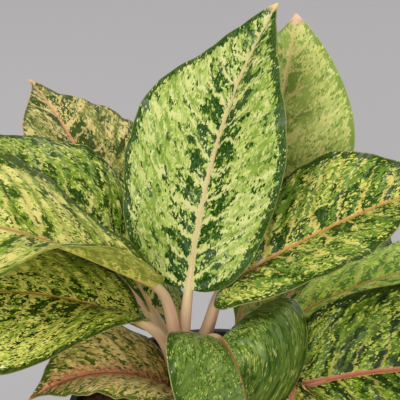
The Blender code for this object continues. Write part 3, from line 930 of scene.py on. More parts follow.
    def build(self) -> bpy.types.Object:
        """Builds the blade as one closed body and dresses it.

        Returns:
            The object.
        """
        grid_t = np.linspace(0.0, 1.0, self.rows + 1) ** self.row_crowding
        spread = np.linspace(-1.0, 1.0, self.columns + 1)
        grid_s = np.sign(spread) * np.abs(spread) ** self.column_crowding
        t, s = (values.ravel() for values in np.meshgrid(grid_t, grid_s, indexing="ij"))
        points, upward, half, forward = self.surface(t, s)
        reach = np.abs(s)
        veins = self.side_veins(t, s, half, forward)
        upper = points + upward * self.relief(t, s, half, veins)[:, None]
        keel = blend(self.keel_thickness, self.keel_tip_thickness, t) - self.thickness
        body = blend(self.thickness, self.margin_thickness, reach**3)
        depth = body + keel * np.exp(-((reach * half / self.keel_half_width) ** 2))
        lower = upper - upward * depth[:, None]
        count = len(upper)
        top_faces = sheet_faces(self.rows, self.columns)
        bottom_faces = sheet_faces(self.rows, self.columns, count)[:, ::-1]
        faces = np.vstack([top_faces, bottom_faces, self.rim_faces(count)])
        skin = self.leaf.mottle.material(self.leaf.name + "_blade")
        name = self.leaf.name.replace("leaf", "blade")
        piece = mesh_object(name, np.vstack([upper, lower]), faces, skin)
        self.keep_places(piece, t, s, half, veins)
        piece.data.set_sharp_from_angle(angle=math.radians(self.sharp_angle))
        return piece

    def rim_faces(self, count: int) -> np.ndarray:
        """The faces that join the upper grid's outer edge to the lower one's.

        Args:
            count: how many vertices a grid has.

        Returns:
            The faces.
        """
        grid = np.arange(count).reshape(self.rows + 1, self.columns + 1)
        ring = np.concatenate([grid[0, :-1], grid[:-1, -1], grid[-1, :0:-1], grid[:0:-1, 0]])
        after = np.roll(ring, -1)
        return np.stack([after, ring, ring + count, after + count], 1)

    def keep_places(
        self, piece: bpy.types.Object, t: np.ndarray, s: np.ndarray, half: np.ndarray, veins: np.ndarray
    ) -> None:
        """Keeps each vertex's place on the leaf for the marking, in millimetres.

        "place" holds how far it is left of the midrib, up from the foot and in from the margin. "vein" holds
        its place across the side veins, its share of the blade's length, and 1 on the underside.

        Args:
            piece: the blade.
            t: shares of the length.
            s: places across.
            half: half widths.
            veins: where the side vein through each vertex leaves the midrib.
        """
        place = np.stack([s * half, t * self.leaf.length, (1.0 - np.abs(s)) * half], 1) / MM
        across = (veins + np.where(s < 0.0, self.right_shift * self.vein_spacing, 0.0)) / MM
        upper = np.stack([across, t, np.zeros_like(t)], 1)
        lower = np.stack([across, t, np.ones_like(t)], 1)
        keep(piece, "place", np.vstack([place, place]))
        keep(piece, "vein", np.vstack([upper, lower]))


@dataclass(frozen=True)
class Cane:
    """A cane's foot at the soil and its top among the youngest petioles."""

    name: str
    foot: Point
    top: Point


@dataclass
class Stalk:
    """A round rod along a path, whose rings are shaped by a function of place and angle."""

    name: str
    path: np.ndarray
    reference: np.ndarray
    sides: int = 40
    sharp_angle: float = 60.0

    def rings(self) -> tuple[np.ndarray, np.ndarray]:
        """The reference side and the side square to it and to the path, at each point of the path.

        Returns:
            Two arrays of vectors.
        """
        tangent = np.gradient(self.path, axis=0)
        tangent /= np.linalg.norm(tangent, axis=1)[:, None]
        facing = self.reference - tangent * (tangent @ self.reference)[:, None]
        facing /= np.linalg.norm(facing, axis=1)[:, None]
        return facing, np.cross(tangent, facing)

    def build(
        self, radius: Callable[[np.ndarray, np.ndarray], np.ndarray], material: bpy.types.Material
    ) -> bpy.types.Object:
        """Lofts the rings and closes both ends with a flat cap.

        Args:
            radius: gives the radius for arrays of share along the path and angle from the reference.
            material: the finish.

        Returns:
            The object.
        """
        count = len(self.path)
        facing, beside = self.rings()
        share = np.linspace(0.0, 1.0, count)[:, None]
        angle = (np.arange(self.sides) / self.sides * 2.0 * math.pi - math.pi)[None, :]
        size = radius(share, angle)[..., None]
        ring = facing[:, None, :] * np.cos(angle)[..., None] + beside[:, None, :] * np.sin(angle)[..., None]
        points = (self.path[:, None, :] + ring * size).reshape(-1, 3)
        faces = []
        for low in range(0, (count - 1) * self.sides, self.sides):
            for j in range(self.sides):
                after, high = (j + 1) % self.sides, low + self.sides
                faces.append((low + j, low + after, high + after, high + j))
        faces.append(tuple(range(self.sides - 1, -1, -1)))
        faces.append(tuple(range((count - 1) * self.sides, count * self.sides)))
        piece = mesh_object(self.name, points, faces, material)
        run = np.concatenate([[0.0], np.cumsum(np.linalg.norm(np.diff(self.path, axis=0), axis=1))]) / MM
        stalk = np.stack(np.broadcast_arrays(share, angle / math.pi, run[:, None]), -1).reshape(-1, 3)
        keep(piece, "stalk", stalk)
        piece.data.set_sharp_from_angle(angle=math.radians(self.sharp_angle))
        return piece


@dataclass
class Petiole:
    """A leaf's stalk: channelled on its upper side and broadening into a sheath at its foot."""

    leaf: Leaf
    cane: Cane
    spans: int = 54
    foot_radius: float = 5.2 * MM
    top_radius: float = 2.8 * MM
    rib_radius: float = 0.9 * MM  # where it ends under the midrib
    rib_spans: int = 10
    rib_taper: float = 0.6
    rib_depth: float = 0.1 * MM  # how far it stays under the blade's upper surface there
    keel: float = 3.2 * MM
    straight: float = 0.4  # how far it holds its first direction, as a share of its length
    sheath: float = 0.50  # share of the stalk that the sheath takes
    wing: float = 0.16  # how much further its edges stand out in the sheath, as a share of the radius
    least_wing: float = 0.04  # how far they stand out above the sheath
    wing_angle: float = 1.15  # radians from the upper side
    wing_spread: float = 0.42
    groove: float = 0.16  # how much deeper the channel is in the sheath
    least_groove: float = 0.05  # how deep it is above the sheath
    groove_spread: float = 0.70

    def path(self) -> np.ndarray:
        """The centre line, from inside the cane to where it runs out under the blade as its midrib.

        Returns:
            Its points.
        """
        leaf, foot, top = self.leaf, np.array(self.cane.foot), np.array(self.cane.top)
        start = blend(foot, top, leaf.node)
        centre, along, _, up = (values[0] for values in leaf.midrib(np.array([0.0])))
        end = centre - up * self.keel / 2.0
        span = np.linalg.norm(end - start)
        outward = unit(blend(unit(top - foot), unit(end - start), leaf.splay))
        first = start + outward * span * self.straight
        second = end - along * span * leaf.bow
        share = np.linspace(0.0, 1.0, self.spans + 1)[:, None]
        rest = 1.0 - share
        stalk = rest**3 * start + 3 * rest**2 * share * first + 3 * rest * share**2 * second + share**3 * end
        spots = np.linspace(0.0, leaf.rib_reach / leaf.length, self.rib_spans + 1)[1:]
        centres, _, _, ups = leaf.midrib(spots)
        drop = blend(self.keel / 2.0, self.rib_radius + self.rib_depth, spots / spots[-1])
        return np.vstack([stalk, centres - ups * drop[:, None]])

    def radius(self, share: np.ndarray, angle: np.ndarray) -> np.ndarray:
        """The stalk's radius.

        Args:
            share: shares of its length.
            angle: angles in radians from its upper side.

        Returns:
            The radii.
        """
        stalk = self.spans / (self.spans + self.rib_spans)
        under_blade = np.clip((share - stalk) / (1.0 - stalk), 0.0, 1.0) ** self.rib_taper
        size = blend(self.foot_radius, self.top_radius, np.minimum(share / stalk, 1.0))
        size = blend(size, self.rib_radius, under_blade)
        sheath = 1.0 - smoothstep(share / self.sheath)
        wings = np.exp(-(((np.abs(angle) - self.wing_angle) / self.wing_spread) ** 2))
        groove = np.exp(-((angle / self.groove_spread) ** 2))
        raised = wings * (self.least_wing + self.wing * sheath)
        return size * (1.0 + raised - groove * (self.least_groove + self.groove * sheath))

    def build(self) -> bpy.types.Object:
        """Builds and dresses the petiole.

        Returns:
            The object.
        """
        up = self.leaf.midrib(np.array([0.0]))[3][0]
        name = self.leaf.name.replace("leaf", "petiole")
        skin = Skin(top=self.leaf.mottle.rib)
        return Stalk(name, self.path(), up).build(self.radius, skin.material(name + "_skin"))


@dataclass
class CaneStem:
    """A short cane with rings where old leaves have dropped."""

    cane: Cane
    foot_radius: float = 9.3 * MM
    tip_radius: float = 5.9 * MM
    root_height: float = 0.121
    spans: int = 69
    scar_spacing: float = 7.5 * MM
    scar_depth: float = 0.09  # as a share of the radius
    scar_tilt: float = 0.25
    dome_start: float = 0.93  # share of the length where the top starts to round off
    dome_length: float = 0.0705
    skin: Skin = Skin(
        cream=srgb(176, 160, 112), blush=srgb(150, 112, 84), green=srgb(108, 118, 62), greenness=0.7
    )

    def path(self) -> np.ndarray:
        """The centre line, from under the soil to the top.

        Returns:
            Its points.
        """
        foot, top = np.array(self.cane.foot), np.array(self.cane.top)
        rooted = foot + (foot - top) * (foot[2] - self.root_height) / (top[2] - foot[2])
        return rooted + (top - rooted) * np.linspace(0.0, 1.0, self.spans + 1)[:, None]

    def radius(self, share: np.ndarray, angle: np.ndarray) -> np.ndarray:
        """The cane's radius, ringed by its scars and rounded at its top.

        Args:
            share: shares of its length.
            angle: angles in radians round it.

        Returns:
            The radii.
        """
        path = self.path()
        scars = share * np.linalg.norm(path[-1] - path[0]) / self.scar_spacing
        beat = np.abs(np.sin(math.pi * scars + self.scar_tilt * np.sin(angle)))
        ringed = 1.0 - self.scar_depth * (1.0 - beat) ** 3
        along_dome = ((share - self.dome_start) / self.dome_length).clip(0.0, 1.0)
        dome = np.sqrt(np.clip(1.0 - along_dome**2, 0.02, 1.0))
        return blend(self.foot_radius, self.tip_radius, share**3) * ringed * dome

    def build(self) -> bpy.types.Object:
        """Builds and dresses the cane.

        Returns:
            The object.
        """
        front = np.array([0.0, -1.0, 0.0])
        name = self.cane.name.replace("shoot", "cane")
        return Stalk(name, self.path(), front).build(
            self.radius, self.skin.material(self.cane.name + "_skin")
        )


@dataclass
class Pot:
    """A tapered nursery pot with a rim band and drainage holes."""

    height: float = 0.165
    rim_radius: float = 0.095
    rim_depth: float = 0.018
    rim_proud: float = 2.5 * MM
    foot_radius: float = 0.068
    wall: float = 2.0 * MM
    floor: float = 3.0 * MM  # thickness of the pot's floor
    sides: int = 168
    drain_holes: int = 8
    drain_radius: float = 5.0 * MM
    drain_circle: float = 48.0 * MM
    drain_sides: int = 28
    weld: float = 0.02 * MM
    sharp_angle: float = 40.0

    def inner_radius(self, z: float) -> float:
        """Radius of the inner wall at a height."""
        return blend(self.foot_radius, self.rim_radius - self.rim_proud, z / self.height) - self.wall

    def corner(self, before: Pair, at: Pair, after: Pair, size: float, steps: int = 4) -> list[Pair]:
        """A rounded corner of a profile.

        Args:
            before: the point before it.
            at: the corner.
            after: the point after it.
            size: how far along each side the rounding starts.
            steps: how many spans it has.

        Returns:
            The rounding's points.
        """
        first = np.array(at) + unit(np.array(before) - np.array(at)) * size
        last = np.array(at) + unit(np.array(after) - np.array(at)) * size
        shares = np.linspace(0.0, 1.0, steps + 1)[:, None]
        curve = (1 - shares) ** 2 * first + 2 * shares * (1 - shares) * np.array(at) + shares**2 * last
        return [tuple(p) for p in curve]

    def profile(self) -> list[Pair]:
        """The pot's half section, from the middle of its underside round to the middle of its floor.

        Returns:
            Its points: distance from the axis, then height.
        """
        band = self.height - self.rim_depth
        wall_top = self.rim_radius - self.rim_proud
        under_band = blend(self.foot_radius, wall_top, band / self.height)
        corners = [  # distance from the axis, height, and how far along each side the rounding starts
            (0.0, 0.0, 0.0),
            (self.foot_radius, 0.0, 1.6 * MM),
            (under_band, band, 0.6 * MM),
            (self.rim_radius, band, 0.8 * MM),
            (self.rim_radius, self.height, 0.9 * MM),
            (self.inner_radius(self.height), self.height, 0.7 * MM),
            (self.inner_radius(self.floor), self.floor, 1.2 * MM),
            (0.0, self.floor, 0.0),
        ]
        points = []
        for k, (r, z, size) in enumerate(corners):
            if size == 0.0:
                points.append((r, z))
            else:
                points += self.corner(corners[k - 1][:2], (r, z), corners[k + 1][:2], size)
        return points

    def build(self) -> bpy.types.Object:
        """Turns the profile, bores the drainage holes and dresses the pot.

        Returns:
            The object, its modifiers applied.
        """
        profile = self.profile()
        edges = [(k, k + 1) for k in range(len(profile) - 1)]
        mesh = bpy.data.meshes.new("pot_profile")
        mesh.from_pydata([(r, 0.0, z) for r, z in profile], edges, [])
        lathe = linked("pot_lathe", mesh)
        spin = lathe.modifiers.new("turn", "SCREW")
        spin.steps = spin.render_steps = self.sides
        spin.use_merge_vertices = True
        spin.merge_threshold = self.weld
        cutter = self.drain_cutter()
        cut = lathe.modifiers.new("drains", "BOOLEAN")
        cut.operation = "DIFFERENCE"
        cut.solver = "EXACT"
        cut.object = cutter
        bpy.context.view_layer.update()
        solid = bpy.data.meshes.new_from_object(lathe.evaluated_get(bpy.context.evaluated_depsgraph_get()))
        for helper in (lathe, cutter):
            bpy.data.objects.remove(helper)
        solid.materials.clear()
        solid.materials.append(PotPlastic().material("pot_plastic"))
        solid.shade_smooth()
        solid.set_sharp_from_angle(angle=math.radians(self.sharp_angle))
        return linked("pot_body", solid)

    def drain_cutter(self) -> bpy.types.Object:
        """One object with a bar through the floor for each drainage hole.

        Returns:
            The object.
        """
        shape = bmesh.new()
        for k in range(self.drain_holes):
            angle = 2.0 * math.pi * k / self.drain_holes
            spot = Vector((self.drain_circle * math.cos(angle), self.drain_circle * math.sin(angle), 0.0))
            bmesh.ops.create_cone(
                shape, cap_ends=True, segments=self.drain_sides, radius1=self.drain_radius,
                radius2=self.drain_radius, depth=4.0 * self.floor, matrix=Matrix.Translation(spot),
            )
        mesh = bpy.data.meshes.new("drain_bars")
        shape.to_mesh(mesh)
        shape.free()
        return linked("drain_bars", mesh)


@dataclass
class Soil:
    """The soil in the pot, lumpy on top, with loose crumbs."""

    pot: Pot
    below_rim: float = 6.0 * MM
    heap: float = 3.0 * MM
    clearance: float = 0.3 * MM
    rings: int = 64
    sectors: int = 220
    level_edge: float = 3.0 * MM  # width beside the pot's wall over which the lumps fade
    lump_scale: float = 75.0  # lumps and clods to a metre
    clod_scale: float = 150.0
    lump_height: float = 1.1 * MM
    clod_height: float = 2.6 * MM
    sunk: float = 0.8 * MM  # how far the lumps are let down, so that they lie round the mean height
    crumbs: int = 420
    crumb_gap: float = 5.0 * MM  # width beside the pot's wall that they keep off
    crumb_sizes: Pair = (0.9 * MM, 2.6 * MM)
    crumb_rarity: float = 2.2  # how rare the large ones are
    crumb_tip: float = 0.4  # radians that they are tipped by at most
    crumb_seat: float = 0.35  # how far above the soil a crumb's middle lies, as a share of its size
    crumb_dents: float = 0.55
    dent_scale: float = 900.0
    sharp_angle: float = 50.0
    seed: int = 7

    def top_height(self, r: float) -> float:
        """Mean height of the soil at a distance from the pot's axis."""
        return self.pot.height - self.below_rim + self.heap * (1.0 - (r / self.pot.rim_radius) ** 2)

    def lump(self, x: float, y: float) -> float:
        """How far the lumps lift the soil.

        Args:
            x: place across.
            y: place away.

        Returns:
            The lift.
        """
        lumps = noise.fractal(Vector((x * self.lump_scale, y * self.lump_scale, 1.0)), 0.7, 2.1, 4)
        clods = abs(noise.noise(Vector((x * self.clod_scale, y * self.clod_scale, 9.0))))
        return self.lump_height * lumps + self.clod_height * clods - self.sunk

    def build(self) -> bpy.types.Object:
        """Builds the soil's closed body.

        Returns:
            The object.
        """
        low = self.pot.floor + self.clearance
        edge = self.pot.inner_radius(self.pot.height - self.below_rim) - self.clearance
        foot = self.pot.inner_radius(low) - self.clearance
        angles = [2.0 * math.pi * j / self.sectors for j in range(self.sectors)]
        points = [(0.0, 0.0, self.top_height(0.0) + self.lump(0.0, 0.0))]
        for k in range(1, self.rings + 1):
            r = edge * k / self.rings
            hold = min(1.0, (edge - r) / self.level_edge)
            for angle in angles:
                x, y = r * math.cos(angle), r * math.sin(angle)
                points.append((x, y, self.top_height(r) + self.lump(x, y) * hold))
        points += [(foot * math.cos(angle), foot * math.sin(angle), low) for angle in angles]
        faces = [(0, 1 + j, 1 + (j + 1) % self.sectors) for j in range(self.sectors)]
        last = 1 + self.rings * self.sectors
        for inner in range(1, last, self.sectors):
            outer = inner + self.sectors
            for j in range(self.sectors):
                after = (j + 1) % self.sectors
                faces.append((inner + j, outer + j, outer + after, inner + after))
        faces.append(tuple(range(last + self.sectors - 1, last - 1, -1)))
        soil = mesh_object("soil_body", points, faces, SoilMix().material("soil_mix"))
        soil.data.set_sharp_from_angle(angle=math.radians(self.sharp_angle))
        return soil

    def loose(self) -> bpy.types.Object:
        """Builds the crumbs and bark flakes that lie on the soil.

        Returns:
            One object that holds them all.
        """
        picks = random.Random(self.seed)
        shape = bmesh.new()
        edge = self.pot.inner_radius(self.pot.height) - self.crumb_gap
        for _ in range(self.crumbs):
            r, angle = edge * math.sqrt(picks.random()), picks.uniform(0.0, 2.0 * math.pi)
            x, y = r * math.cos(angle), r * math.sin(angle)
            size = blend(*self.crumb_sizes, picks.random() ** self.crumb_rarity)
            stretch = Vector((picks.uniform(0.8, 1.7), picks.uniform(0.7, 1.1), picks.uniform(0.45, 0.9)))
            spin, tip = picks.uniform(0.0, 6.28), picks.uniform(-self.crumb_tip, self.crumb_tip)
            centre = Vector((x, y, self.top_height(r) + self.lump(x, y) + size * self.crumb_seat))
            turn = Matrix.Rotation(spin, 4, "Z") @ Matrix.Rotation(tip, 4, "X")
            matrix = Matrix.Translation(centre) @ turn @ Matrix.Diagonal((*(stretch * size), 1.0))
            made = bmesh.ops.create_icosphere(shape, subdivisions=2, radius=1.0, matrix=matrix)
            for vertex in made["verts"]:
                push = noise.noise(vertex.co * self.dent_scale + Vector((angle, 0.0, 0.0)))
                vertex.co += (vertex.co - centre) * push * self.crumb_dents
        mesh = bpy.data.meshes.new("soil_crumbs")
        shape.to_mesh(mesh)
        shape.free()
        mesh.shade_smooth()
        mesh.materials.append(SoilMix().material("crumb_mix"))
        return linked("soil_crumbs", mesh)


@dataclass(frozen=True)
class Lamp:
    """A square soft light that faces the plant."""

    name: str
    place: Point
    size: float
    power: float  # watts
    colour: Colour

    def build(self, aim: Point) -> None:
        """Hangs the light.

        Args:
            aim: the point that it faces.
        """
        data = bpy.data.lights.new(self.name, "AREA")
        data.size = self.size
        data.energy = self.power
        data.color = self.colour
        lamp = bpy.data.objects.new(self.name, data)
        lamp.location = self.place
        lamp.rotation_euler = (Vector(aim) - Vector(self.place)).to_track_quat("-Z", "Y").to_euler()
        bpy.context.scene.collection.objects.link(lamp)


@dataclass
class Studio:
    """The floor, the soft light and the camera at the photo's viewing angle."""

    elevation: float = 28.0
    target: Point = (-0.010, 0.0, 0.317)
    distance: float = 0.800
    focal_pixels: float = 1367.0
    image_pixels: float = 400.0
    sensor: float = 36.0  # mm
    floor_radius: float = 6.0
    floor_sides: int = 96
    floor_finish: Plain = Plain(srgb(184, 182, 186), 0.9)
    sky_colour: Colour = (1.0, 0.985, 0.965)
    sky_strength: float = 0.52
    lamp_aim: Point = (0.0, 0.0, 0.25)
    lamps: tuple[Lamp, ...] = (
        Lamp("key_light", (-1.1, -0.7, 1.9), 1.1, 23.0, (1.0, 0.985, 0.95)),
        Lamp("front_light", (-0.5, -2.4, 0.8), 1.5, 25.0, (1.0, 0.99, 0.96)),
        Lamp("fill_light", (1.4, -1.2, 1.2), 1.3, 9.0, (1.0, 0.99, 0.97)),
        Lamp("back_light", (0.5, 1.5, 1.7), 1.5, 7.0, (1.0, 0.99, 0.96)),
    )

    def build(self) -> None:
        """Builds the stage, the lights and the camera."""
        bpy.context.scene.view_settings.view_transform = "Standard"
        self.floor()
        self.sky()
        for lamp in self.lamps:
            lamp.build(self.lamp_aim)
        self.camera()

    def floor(self) -> None:
        """Adds the plain pale floor."""
        bpy.ops.mesh.primitive_circle_add(
            vertices=self.floor_sides, radius=self.floor_radius, fill_type="NGON"
        )
        floor = bpy.context.object
        floor.name = "floor"
        floor.data.materials.append(self.floor_finish.material("floor_paint"))

    def sky(self) -> None:
        """Adds the even light from all round."""
        world = bpy.data.worlds.new("soft_sky")
        world.use_nodes = True
        background = world.node_tree.nodes["Background"]
        background.inputs["Color"].default_value = (*self.sky_colour, 1.0)
        background.inputs["Strength"].default_value = self.sky_strength
        bpy.context.scene.world = world

    def camera(self) -> None:
        """Adds the camera."""
        data = bpy.data.cameras.new("camera")
        data.sensor_width = self.sensor
        data.lens = self.focal_pixels / self.image_pixels * self.sensor
        camera = bpy.data.objects.new("camera", data)
        angle = math.radians(self.elevation)
        away = Vector((0.0, -math.cos(angle), math.sin(angle))) * self.distance
        camera.location = Vector(self.target) + away
        camera.rotation_euler = (math.pi / 2.0 - angle, 0.0, 0.0)
        bpy.context.scene.collection.objects.link(camera)
        bpy.context.scene.camera = camera


SOIL_LEVEL = 0.163
CANES = (
    Cane("shoot_left", (-0.020, 0.000, SOIL_LEVEL), (-0.022, 0.003, 0.198)),
    Cane("shoot_right", (0.028, -0.002, SOIL_LEVEL), (0.026, 0.000, 0.186)),
    Cane("shoot_back", (0.018, 0.048, SOIL_LEVEL), (0.017, 0.050, 0.186)),
)

# leaf_centre's colours are partly its own and partly painted shade: darkened to offset the strong light that
# falls on this leaf.
CENTRE = Mottle(
    ground=srgb(122, 150, 52), light=srgb(162, 180, 88), cream=srgb(202, 204, 132), deep=srgb(12, 58, 0),
    rib=srgb(202, 184, 134), light_cover=0.62, bloom_cover=0.16, deep_cover=0.06, beside_rib=0.20,
    reach=26.0, border=4.6, rib_width=4.2, seed=1.0, streaks=0.9, sheen=0.35, size=0.85,
)
TALL = Mottle(
    ground=srgb(150, 170, 80), light=srgb(182, 194, 100), cream=srgb(214, 210, 128),
    deep=srgb(118, 142, 62), rib=srgb(214, 190, 130), tip=srgb(236, 188, 166), light_cover=0.55,
    cream_cover=0.16, bloom_cover=0.14, deep_cover=0.08, rib_width=4.6, seed=2.0, sheen=0.2, size=1.3,
)
RIGHT = Mottle(
    ground=srgb(98, 130, 38), light=srgb(126, 152, 56), cream=srgb(208, 202, 104), deep=srgb(26, 56, 0),
    rib=srgb(190, 140, 74), light_cover=0.32, cream_cover=0.18, bloom_cover=0.16, deep_cover=0.16,
    border=3.6, rib_width=3.4, seed=3.0, stretch=0.7, grain=0.35, streaks=0.9,
)
BACK_LEFT = Mottle(
    ground=srgb(118, 130, 54), light=srgb(176, 172, 88), cream=srgb(222, 204, 132), deep=srgb(56, 76, 18),
    rib=srgb(222, 156, 120), edge=srgb(222, 170, 126), tip=srgb(234, 184, 150), cream_cover=0.20,
    bloom_cover=0.32, deep_cover=0.20, border=1.6, seed=4.0, size=1.5, margin_line_and_rim_light=0.8, sheen=0.2,
)
LEFT_BEHIND = Mottle(
    ground=srgb(112, 142, 32), light=srgb(142, 164, 62), cream=srgb(208, 206, 118), deep=srgb(24, 58, 0),
    bloom_cover=0.09, deep_cover=0.24, seed=5.0, border=3.4, beside_rib=0.06, grain=0.35,
)
# Its underside colour is very light: painted light over the shade on the rolled band of its near half,
# beyond the underside's own paler colour.
LEFT = Mottle(
    ground=srgb(122, 144, 44), light=srgb(166, 180, 76), cream=srgb(220, 210, 124), deep=srgb(46, 74, 4),
    rib=srgb(176, 132, 74), light_cover=0.5, cream_cover=0.18, bloom_cover=0.28, deep_cover=0.13,
    beside_rib=0.06, border=8.0, rib_width=3.0, seed=6.0, under=srgb(255, 255, 112), sheen=0.4, size=1.25,
)
LEFT_LOW = Mottle(
    ground=srgb(120, 144, 34), light=srgb(156, 168, 56), cream=srgb(216, 210, 106), deep=srgb(22, 46, 0),
    rib=srgb(150, 104, 42), cream_cover=0.20, bloom_cover=0.16, deep_cover=0.08, border=4.2, rib_width=2.6,
    seed=7.0, size=0.9, stretch=0.45, sheen=0.3, beside_rib=0.12, left_deep_and_shade=0.08,
)
# leaf_low_left's peach and cream are partly its own colours and partly painted light: lightened to offset
# the deep shade that this leaf lies in.
LOW_LEFT = Mottle(
    ground=srgb(126, 144, 40), light=srgb(214, 190, 108), cream=srgb(240, 212, 144), deep=srgb(66, 88, 16),
    rib=srgb(200, 96, 82), blush=srgb(214, 116, 100), edge=srgb(216, 178, 124), tip=srgb(222, 176, 140),
    light_cover=0.74, cream_cover=0.20, bloom_cover=0.16, deep_cover=0.22, beside_rib=-0.02, border=3.0,
    rib_width=3.0, seed=8.0, size=0.5, flush=0.75, streaks=0.2, reach=10.0,
)
FRONT = Mottle(
    ground=srgb(86, 112, 38), light=srgb(116, 140, 58), cream=srgb(206, 204, 108), deep=srgb(46, 76, 18),
    rib=srgb(142, 102, 66), light_cover=0.40, cream_cover=0.012, bloom_cover=0.006, deep_cover=0.08,
    beside_rib=0.02, border=4.0, rib_width=2.4, seed=9.0, specks=0.9, streaks=0.0, sheen=0.8, stretch=0.5,
    left_deep_and_shade=0.05, grain=0.15, margin_line_and_rim_light=0.6,
)
RIGHT_LOW = Mottle(
    ground=srgb(76, 102, 14), light=srgb(106, 132, 32), cream=srgb(180, 186, 78), deep=srgb(20, 40, 0),
    rib=srgb(168, 88, 74), light_cover=0.40, bloom_cover=0.08, deep_cover=0.24, beside_rib=0.05, border=5.0,
    rib_width=4.2, seed=10.0, streaks=0.6, sheen=0.3, stretch=1.6,
)
RIGHT_BEHIND = Mottle(
    ground=srgb(150, 194, 56), light=srgb(204, 232, 90), cream=srgb(224, 230, 108), deep=srgb(94, 130, 34),
    rib=srgb(190, 140, 88), cream_cover=0.16, bloom_cover=0.12, deep_cover=0.12, border=1.8, rib_width=2.8,
    seed=11.0, sheen=0.2,
)
FRONT_LOW = Mottle(
    ground=srgb(104, 132, 24), light=srgb(170, 168, 70), cream=srgb(232, 178, 118), deep=srgb(12, 38, 2),
    rib=srgb(200, 120, 90), cream_cover=0.10, bloom_cover=0.40, deep_cover=0.22, border=1.6, seed=12.0,
)
BACK = Mottle(seed=13.0)
BACK_RIGHT = Mottle(
    ground=srgb(76, 110, 34), light=srgb(112, 140, 48), cream=srgb(200, 190, 94), deep=srgb(28, 60, 14),
    cream_cover=0.10, bloom_cover=0.06, deep_cover=0.22, seed=14.0,
)
BACK_LOW = Mottle(ground=srgb(92, 128, 40), cream=srgb(208, 196, 108), seed=15.0)
LOW_FRONT = Mottle(
    ground=srgb(106, 128, 40), light=srgb(166, 166, 70), cream=srgb(212, 186, 108), deep=srgb(38, 66, 16),
    rib=srgb(204, 140, 100), cream_cover=0.18, bloom_cover=0.20, seed=16.0,
)

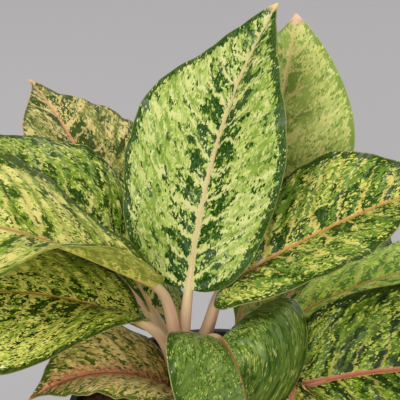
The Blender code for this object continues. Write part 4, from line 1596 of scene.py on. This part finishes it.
LEAVES = (
    Leaf("leaf_centre", "shoot_left", 1.00, (-0.017, 0.004, 0.253), 73.0, 67.0, 0.185, 0.098, Slot.LIGHT,
         CENTRE, arch=22.0, sweep=-30.0, roll=14.0, fold=(8.0, 22.0), opened=(0.0, 26.0), curl=(26.0, 30.0),
         lean=(0.1, 0.5), halves=(1.12, 0.95), widest=(0.42, 0.37),
         bumps=((0, 0.86, 0.10, -0.20), (0, 0.72, 0.08, -0.08), (0, 0.60, 0.06, 0.03))),
    Leaf("leaf_tall", "shoot_back", 1.00, (0.015, 0.045, 0.198), 52.0, 73.0, 0.208, 0.104, Slot.GREEN, TALL,
         arch=12.0, sweep=20.0, fold=(64.0, 30.0), opened=(-52.0, -18.0), lobe=0.0, turn=(0.0, 0.5),
         widest=(0.55, 0.46), taper=(3.2, 1.9), lean=(0.2, 0.4)),
    Leaf("leaf_right", "shoot_left", 0.90, (0.004, 0.014, 0.249), 4.0, 35.0, 0.152, 0.084, Slot.GREEN,
         RIGHT, arch=9.0, sweep=-16.0, roll=24.0, fold=(34.0, 52.0), opened=(0.0, -28.0), curl=(22.0, 22.0),
         lobe=0.8, turn=(0.0, 0.3), halves=(1.0, 0.97), widest=(0.40, 0.38), bow=0.15, splay=2.2,
         bumps=((1, 0.10, 0.06, 0.25), (1, 0.25, 0.12, -0.08))),
    Leaf("leaf_back_left", "shoot_left", 0.80, (-0.059, 0.062, 0.238), 124.5, 55.0, 0.154, 0.098,
         Slot.OLIVE, BACK_LEFT, arch=44.0, sweep=-1.0, fold=(30.0, 6.0), curl=(26.0, 30.0),
         halves=(0.88, 1.06), widest=(0.36, 0.42), taper=(2.5, 2.5), bow=0.15,
         bumps=((1, 0.84, 0.12, -0.30),)),
    Leaf("leaf_left_behind", "shoot_left", 0.65, (-0.040, 0.018, 0.228), 154.0, 64.0, 0.182, 0.096,
         Slot.GREEN, LEFT_BEHIND, arch=82.0, sweep=16.0, fold=(28.0, 28.0), lobe=0.1, halves=(0.72, 0.96),
         widest=(0.56, 0.48), taper=(2.6, 1.9)),
    Leaf("leaf_left", "shoot_left", 0.85, (-0.037, -0.010, 0.266), 187.0, 31.0, 0.178, 0.100, Slot.LIGHT,
         LEFT, arch=44.0, fold=(48.0, 20.0), opened=(-84.0, 32.0), curl=(20.0, 24.0), lobe=0.6,
         turn=(0.22, 0.66), arch_power=2.0, bow=0.2, bumps=((1, 0.29, 0.08, 0.16),)),
    Leaf("leaf_left_low", "shoot_left", 0.45, (-0.047, -0.015, 0.244), 188.0, 28.0, 0.165, 0.096,
         Slot.OLIVE, LEFT_LOW, arch=44.0, sweep=4.0, fold=(44.0, 36.0), opened=(-74.0, -10.0),
         curl=(30.0, 24.0), lobe=0.38, turn=(0.05, 0.42), widest=(0.35, 0.44)),
    Leaf("leaf_low_left", "shoot_left", 0.20, (-0.030, -0.015, 0.193), 204.0, 44.0, 0.099, 0.080,
         Slot.PEACH, LOW_LEFT, arch=74.0, fold=(26.0, 34.0), lobe=0.6, halves=(1.0, 1.10),
         widest=(0.32, 0.28), taper=(2.6, 2.6)),
    Leaf("leaf_front", "shoot_left", 0.55, (0.002, -0.020, 0.233), -66.0, 6.0, 0.150, 0.092, Slot.DARK,
         FRONT, arch=60.0, sweep=-50.0, fold=(32.0, 34.0), opened=(-102.0, -20.0), curl=(62.0, 36.0),
         lobe=0.75, halves=(1.36, 0.86), turn=(0.09, 0.26), widest=(0.16, 0.24), taper=(2.8, 2.4),
         bumps=((0, 0.37, 0.14, -0.55),), rib_reach=4.0 * MM),
    Leaf("leaf_right_low", "shoot_right", 0.90, (0.054, -0.012, 0.193), -4.0, 21.0, 0.175, 0.106,
         Slot.GREEN, RIGHT_LOW, arch=44.0, sweep=-8.0, roll=34.0, fold=(32.0, 20.0), curl=(22.0, 30.0),
         lobe=0.55, widest=(0.36, 0.44)),
    Leaf("leaf_right_behind", "shoot_back", 0.70, (0.048, 0.040, 0.208), 14.0, 28.0, 0.160, 0.078,
         Slot.OLIVE, RIGHT_BEHIND, arch=50.0, roll=-4.0),
    Leaf("leaf_front_low", "shoot_right", 0.70, (0.046, -0.012, 0.196), -90.0, -6.0, 0.092, 0.060,
         Slot.PEACH, FRONT_LOW, arch=22.0, sweep=4.0, fold=(10.0, -10.0), curl=(24.0, 20.0),
         halves=(0.70, 1.0)),
    Leaf("leaf_back", "shoot_back", 0.85, (0.020, 0.068, 0.232), 98.0, 52.0, 0.165, 0.088, Slot.GREEN, BACK,
         arch=64.0, sweep=-10.0, roll=6.0),
    Leaf("leaf_back_right", "shoot_back", 0.55, (0.040, 0.068, 0.190), 56.0, 26.0, 0.150, 0.080, Slot.DARK,
         BACK_RIGHT, arch=50.0, sweep=6.0, fold=(16.0, 16.0)),
    Leaf("leaf_back_low", "shoot_back", 0.30, (-0.022, 0.066, 0.184), 146.0, 26.0, 0.160, 0.084, Slot.GREEN,
         BACK_LOW, arch=46.0, sweep=6.0, fold=(16.0, 16.0)),
    Leaf("leaf_low_front", "shoot_left", 0.10, (-0.036, -0.034, 0.182), -128.0, 18.0, 0.130, 0.080,
         Slot.OLIVE, LOW_FRONT, arch=56.0, fold=(16.0, 16.0)),
)


def main() -> None:
    logging.basicConfig(level=logging.INFO, format="%(name)s: %(message)s")
    Studio().build()
    pot = Pot()
    place_piece(pot.build(), Slot.POT, "pot")
    soil = Soil(pot)
    place_piece(soil.build(), Slot.SOIL, "soil")
    place_piece(soil.loose(), Slot.SOIL, "soil")
    canes = {cane.name: cane for cane in CANES}
    for cane in CANES:
        place_piece(CaneStem(cane).build(), Slot.PETIOLE, cane.name)
    for leaf in LEAVES:
        place_piece(Petiole(leaf, canes[leaf.shoot]).build(), Slot.PETIOLE, leaf.shoot)
        place_piece(Blade(leaf).build(), leaf.slot, leaf.name)


if __name__ == "__main__":
    main()
